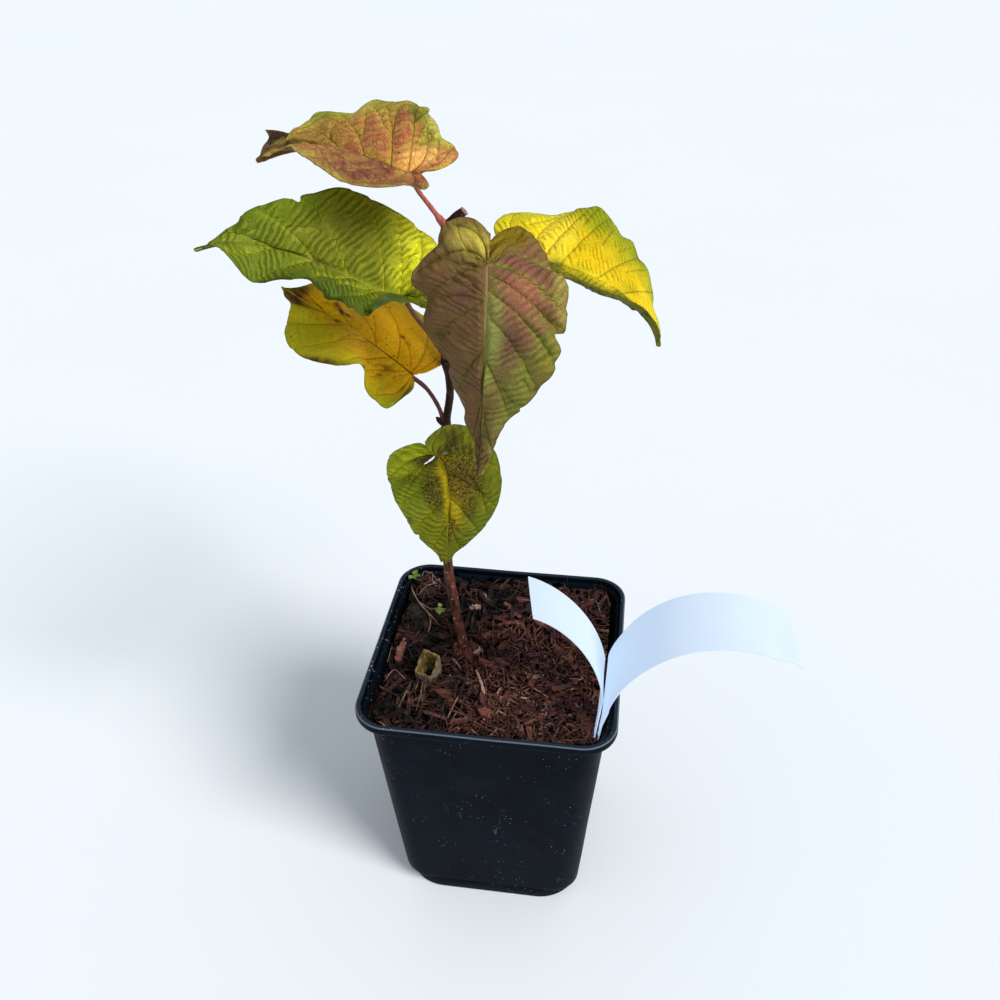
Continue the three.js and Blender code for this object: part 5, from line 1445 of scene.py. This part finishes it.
# labels
labels = {
    "label_left": dict(
        stake=[(34.4, -29, 60, 1), (36, -30, 78, 4.5), (37.3, -31, 94, 5), (37.9, -30, 99, 6)],
        strip=[(38.8, -20, 108), (36.5, -19.5, 125), (25, -19.5, 138), (13.5, -18.5, 140)],
        across=[(0.4, -21, 1), (4, -20.6, 0)], dents=[],
    ),
    "label_right": dict(
        stake=[(35.6, -29, 60, 1), (37.2, -30, 78, 4.5), (38.7, -31, 94, 5), (39.4, -30, 99, 6)],
        strip=[(40.5, -22, 107), (39.9, -24.5, 116), (56, -34.5, 165), (97, -26.5, 139)],
        across=[(1, -20.5, -4.7), (3.8, -19.9, -5.6)],
        dents=[(0.93, 1.0, 0.02, 0.35, 0.5), (0.975, 0.95, 0.02, 0.4, -0.6), (0.3, -0.9, 0.1, 0.5, 0.3)],
    ),
}
labelBuild = dict(rows=110, stakeRows=39, cols=16, fullHalf=10.5, thickness=0.42, cup=0.25)


def labelMaterial():
    made, tree, where, shader = newMaterial("labelPlastic")
    cloud = noise(tree, where, 60, 4, 0.6)
    shade = twoTone(tree, cloud, 0.3, 0.7, "#9fa29c", "#a4a7a0")
    mark = times(tree, between(tree, cells(tree, where, 210), 0.06, 0.02),
                 between(tree, noise(tree, where, 60, 2), 0.56, 0.66, 0.0, 0.5))
    shade = over(tree, mark, shade, "#a9b3bd")
    # darker towards the bottom, near the soil
    low = between(tree, axes(tree, where)[2], 0.104, 0.096)
    darkerLow = times(tree, low, between(tree, noise(tree, where, 500, 4), 0.4, 0.65, 0.1, 0.75))
    shade = over(tree, darkerLow, shade, "#6c6f78")
    coat(tree, shader, shade, between(tree, cloud, 0.2, 0.8, 0.34, 0.46), 0.15)
    # painted light: the sheet glows by its own emission, standing in for light that passes the thin plastic,
    # and its base colour is kept grey under the glow
    shader.inputs["Emission Color"].default_value = linear("#95abcb")  # light that passes the thin sheet
    shader.inputs["Emission Strength"].default_value = 1.1
    bump(tree, shader, noise(tree, where, 900, 3), 0.06, 0.0002)
    return made


labelPlastic = labelMaterial()
for name, label in labels.items():
    # rows of points from the stake's tip to the strip's end, each row running across the strip
    stake = np.array(label["stake"], float)
    s = np.linspace(0, 1, labelBuild["rows"])
    foot, end = np.array(label["across"], float)
    stripMiddle = bezier(label["strip"], s)
    stripHalf = (foot + (end - foot) * s[:, None]) / 2
    stakeHalf = np.stack([0 * stake[:, 3], -stake[:, 3] / 2, 0 * stake[:, 3]], 1)
    knots = np.vstack([stake[:, :3], stripMiddle[:1]])
    knotHalf = np.vstack([stakeHalf, stripHalf[:1]])
    run = np.r_[0, np.cumsum(np.linalg.norm(np.diff(knots, axis=0), axis=1))]
    at = np.linspace(0, run[-1], labelBuild["stakeRows"] + 1)[:-1]
    middle = np.vstack([np.stack([np.interp(at, run, knots[:, k]) for k in range(3)], 1), stripMiddle])
    half = np.vstack([np.stack([np.interp(at, run, knotHalf[:, k]) for k in range(3)], 1), stripHalf])
    across = np.linspace(-1, 1, labelBuild["cols"])
    sheet = middle[:, None] + half[:, None] * across[None, :, None]
    normal = unit(np.cross(np.gradient(middle, axis=0), half))
    width = np.linalg.norm(half, axis=1)[:, None] / labelBuild["fullHalf"]
    push = labelBuild["cup"] * width * across[None] ** 2
    grow = np.r_[np.zeros(labelBuild["stakeRows"]), s][:, None]
    for where, edge, reachS, reachT, amount in label["dents"]:
        push = push + amount * bell(grow, where, reachS) * bell(across[None], edge, reachT)
    sheet = sheet + normal[:, None] * push[..., None]
    rows, cols = sheet.shape[:2]
    reach = labelBuild["thickness"] / 2
    upper, lower = sheet + normal[:, None] * reach, sheet - normal[:, None] * reach
    loop = np.concatenate([upper, lower[:, ::-1]], 1)  # round the strip's section
    tip = loop[:1].mean(1, keepdims=True) * np.ones((1, 2 * cols, 1))
    loop = np.concatenate([tip, loop, np.concatenate([sheet[-1:], sheet[-1:, ::-1]], 1)])
    points, quads = loop.reshape(-1, 3), gridQuads(rows + 2, 2 * cols, True)
    place(gridPiece(name + "_strip", points, quads, labelPlastic, sharp=45), name, name)
print("labels made")

# floor, light and camera
floorMesh = bpy.data.meshes.new("floor")
floorMesh.from_pydata([(-9, -9, 0), (9, -9, 0), (9, 9, 0), (-9, 9, 0)], [], [(0, 1, 2, 3)])
floorMaterial, tree, where, shader = newMaterial("floorPale")
floorTone = blendColour(tree, noise(tree, where, 3, 3), linear("#ecf2f8"), linear("#f0f6fb"))
coat(tree, shader, floorTone, 0.9, 0.1)
floorMesh.materials.append(floorMaterial)
floor = bpy.data.objects.new("floor", floorMesh)
bpy.context.scene.collection.objects.link(floor)

world = bpy.data.worlds.new("studio")
world.use_nodes = True
world.node_tree.nodes["Background"].inputs[0].default_value = (0.9, 0.95, 1.0, 1)
world.node_tree.nodes["Background"].inputs[1].default_value = 0.52
bpy.context.scene.world = world
sunData = bpy.data.lights.new("keyLight", "SUN")
sunData.energy, sunData.angle, sunData.color = 2.7, math.radians(26), (1.0, 0.985, 0.96)
sun = bpy.data.objects.new("keyLight", sunData)
sun.rotation_euler = Vector((0.66, -0.42, 0.7)).to_track_quat("Z", "Y").to_euler()
bpy.context.scene.collection.objects.link(sun)

# angles in degrees, the camera's place and sensor in mm, the focal length in pixels of a square picture
view = dict(azimuth=8.42, elevation=34.28, roll=-0.68, spot=(39.8, -261.4, 345.1), focal=972.2,
            sensor=36, pixels=1000)
a, e, r = (math.radians(view[key]) for key in ("azimuth", "elevation", "roll"))
back = Vector((math.sin(a) * math.cos(e), -math.cos(a) * math.cos(e), math.sin(e)))
right = (-back).cross(Vector((0, 0, 1))).normalized()
up = right.cross(-back)
turnedRight = math.cos(r) * right + math.sin(r) * up
turnedUp = -math.sin(r) * right + math.cos(r) * up
pose = Matrix((turnedRight, turnedUp, back)).transposed().to_4x4()
pose.translation = Vector(view["spot"]) * mm
lens = bpy.data.cameras.new("camera")
lens.sensor_width, lens.clip_start = view["sensor"], 0.01
lens.lens = view["focal"] * view["sensor"] / view["pixels"]
camera = bpy.data.objects.new("camera", lens)
camera.matrix_world = pose
bpy.context.scene.collection.objects.link(camera)
bpy.context.scene.camera = camera
bpy.context.scene.view_settings.view_transform = "Standard"
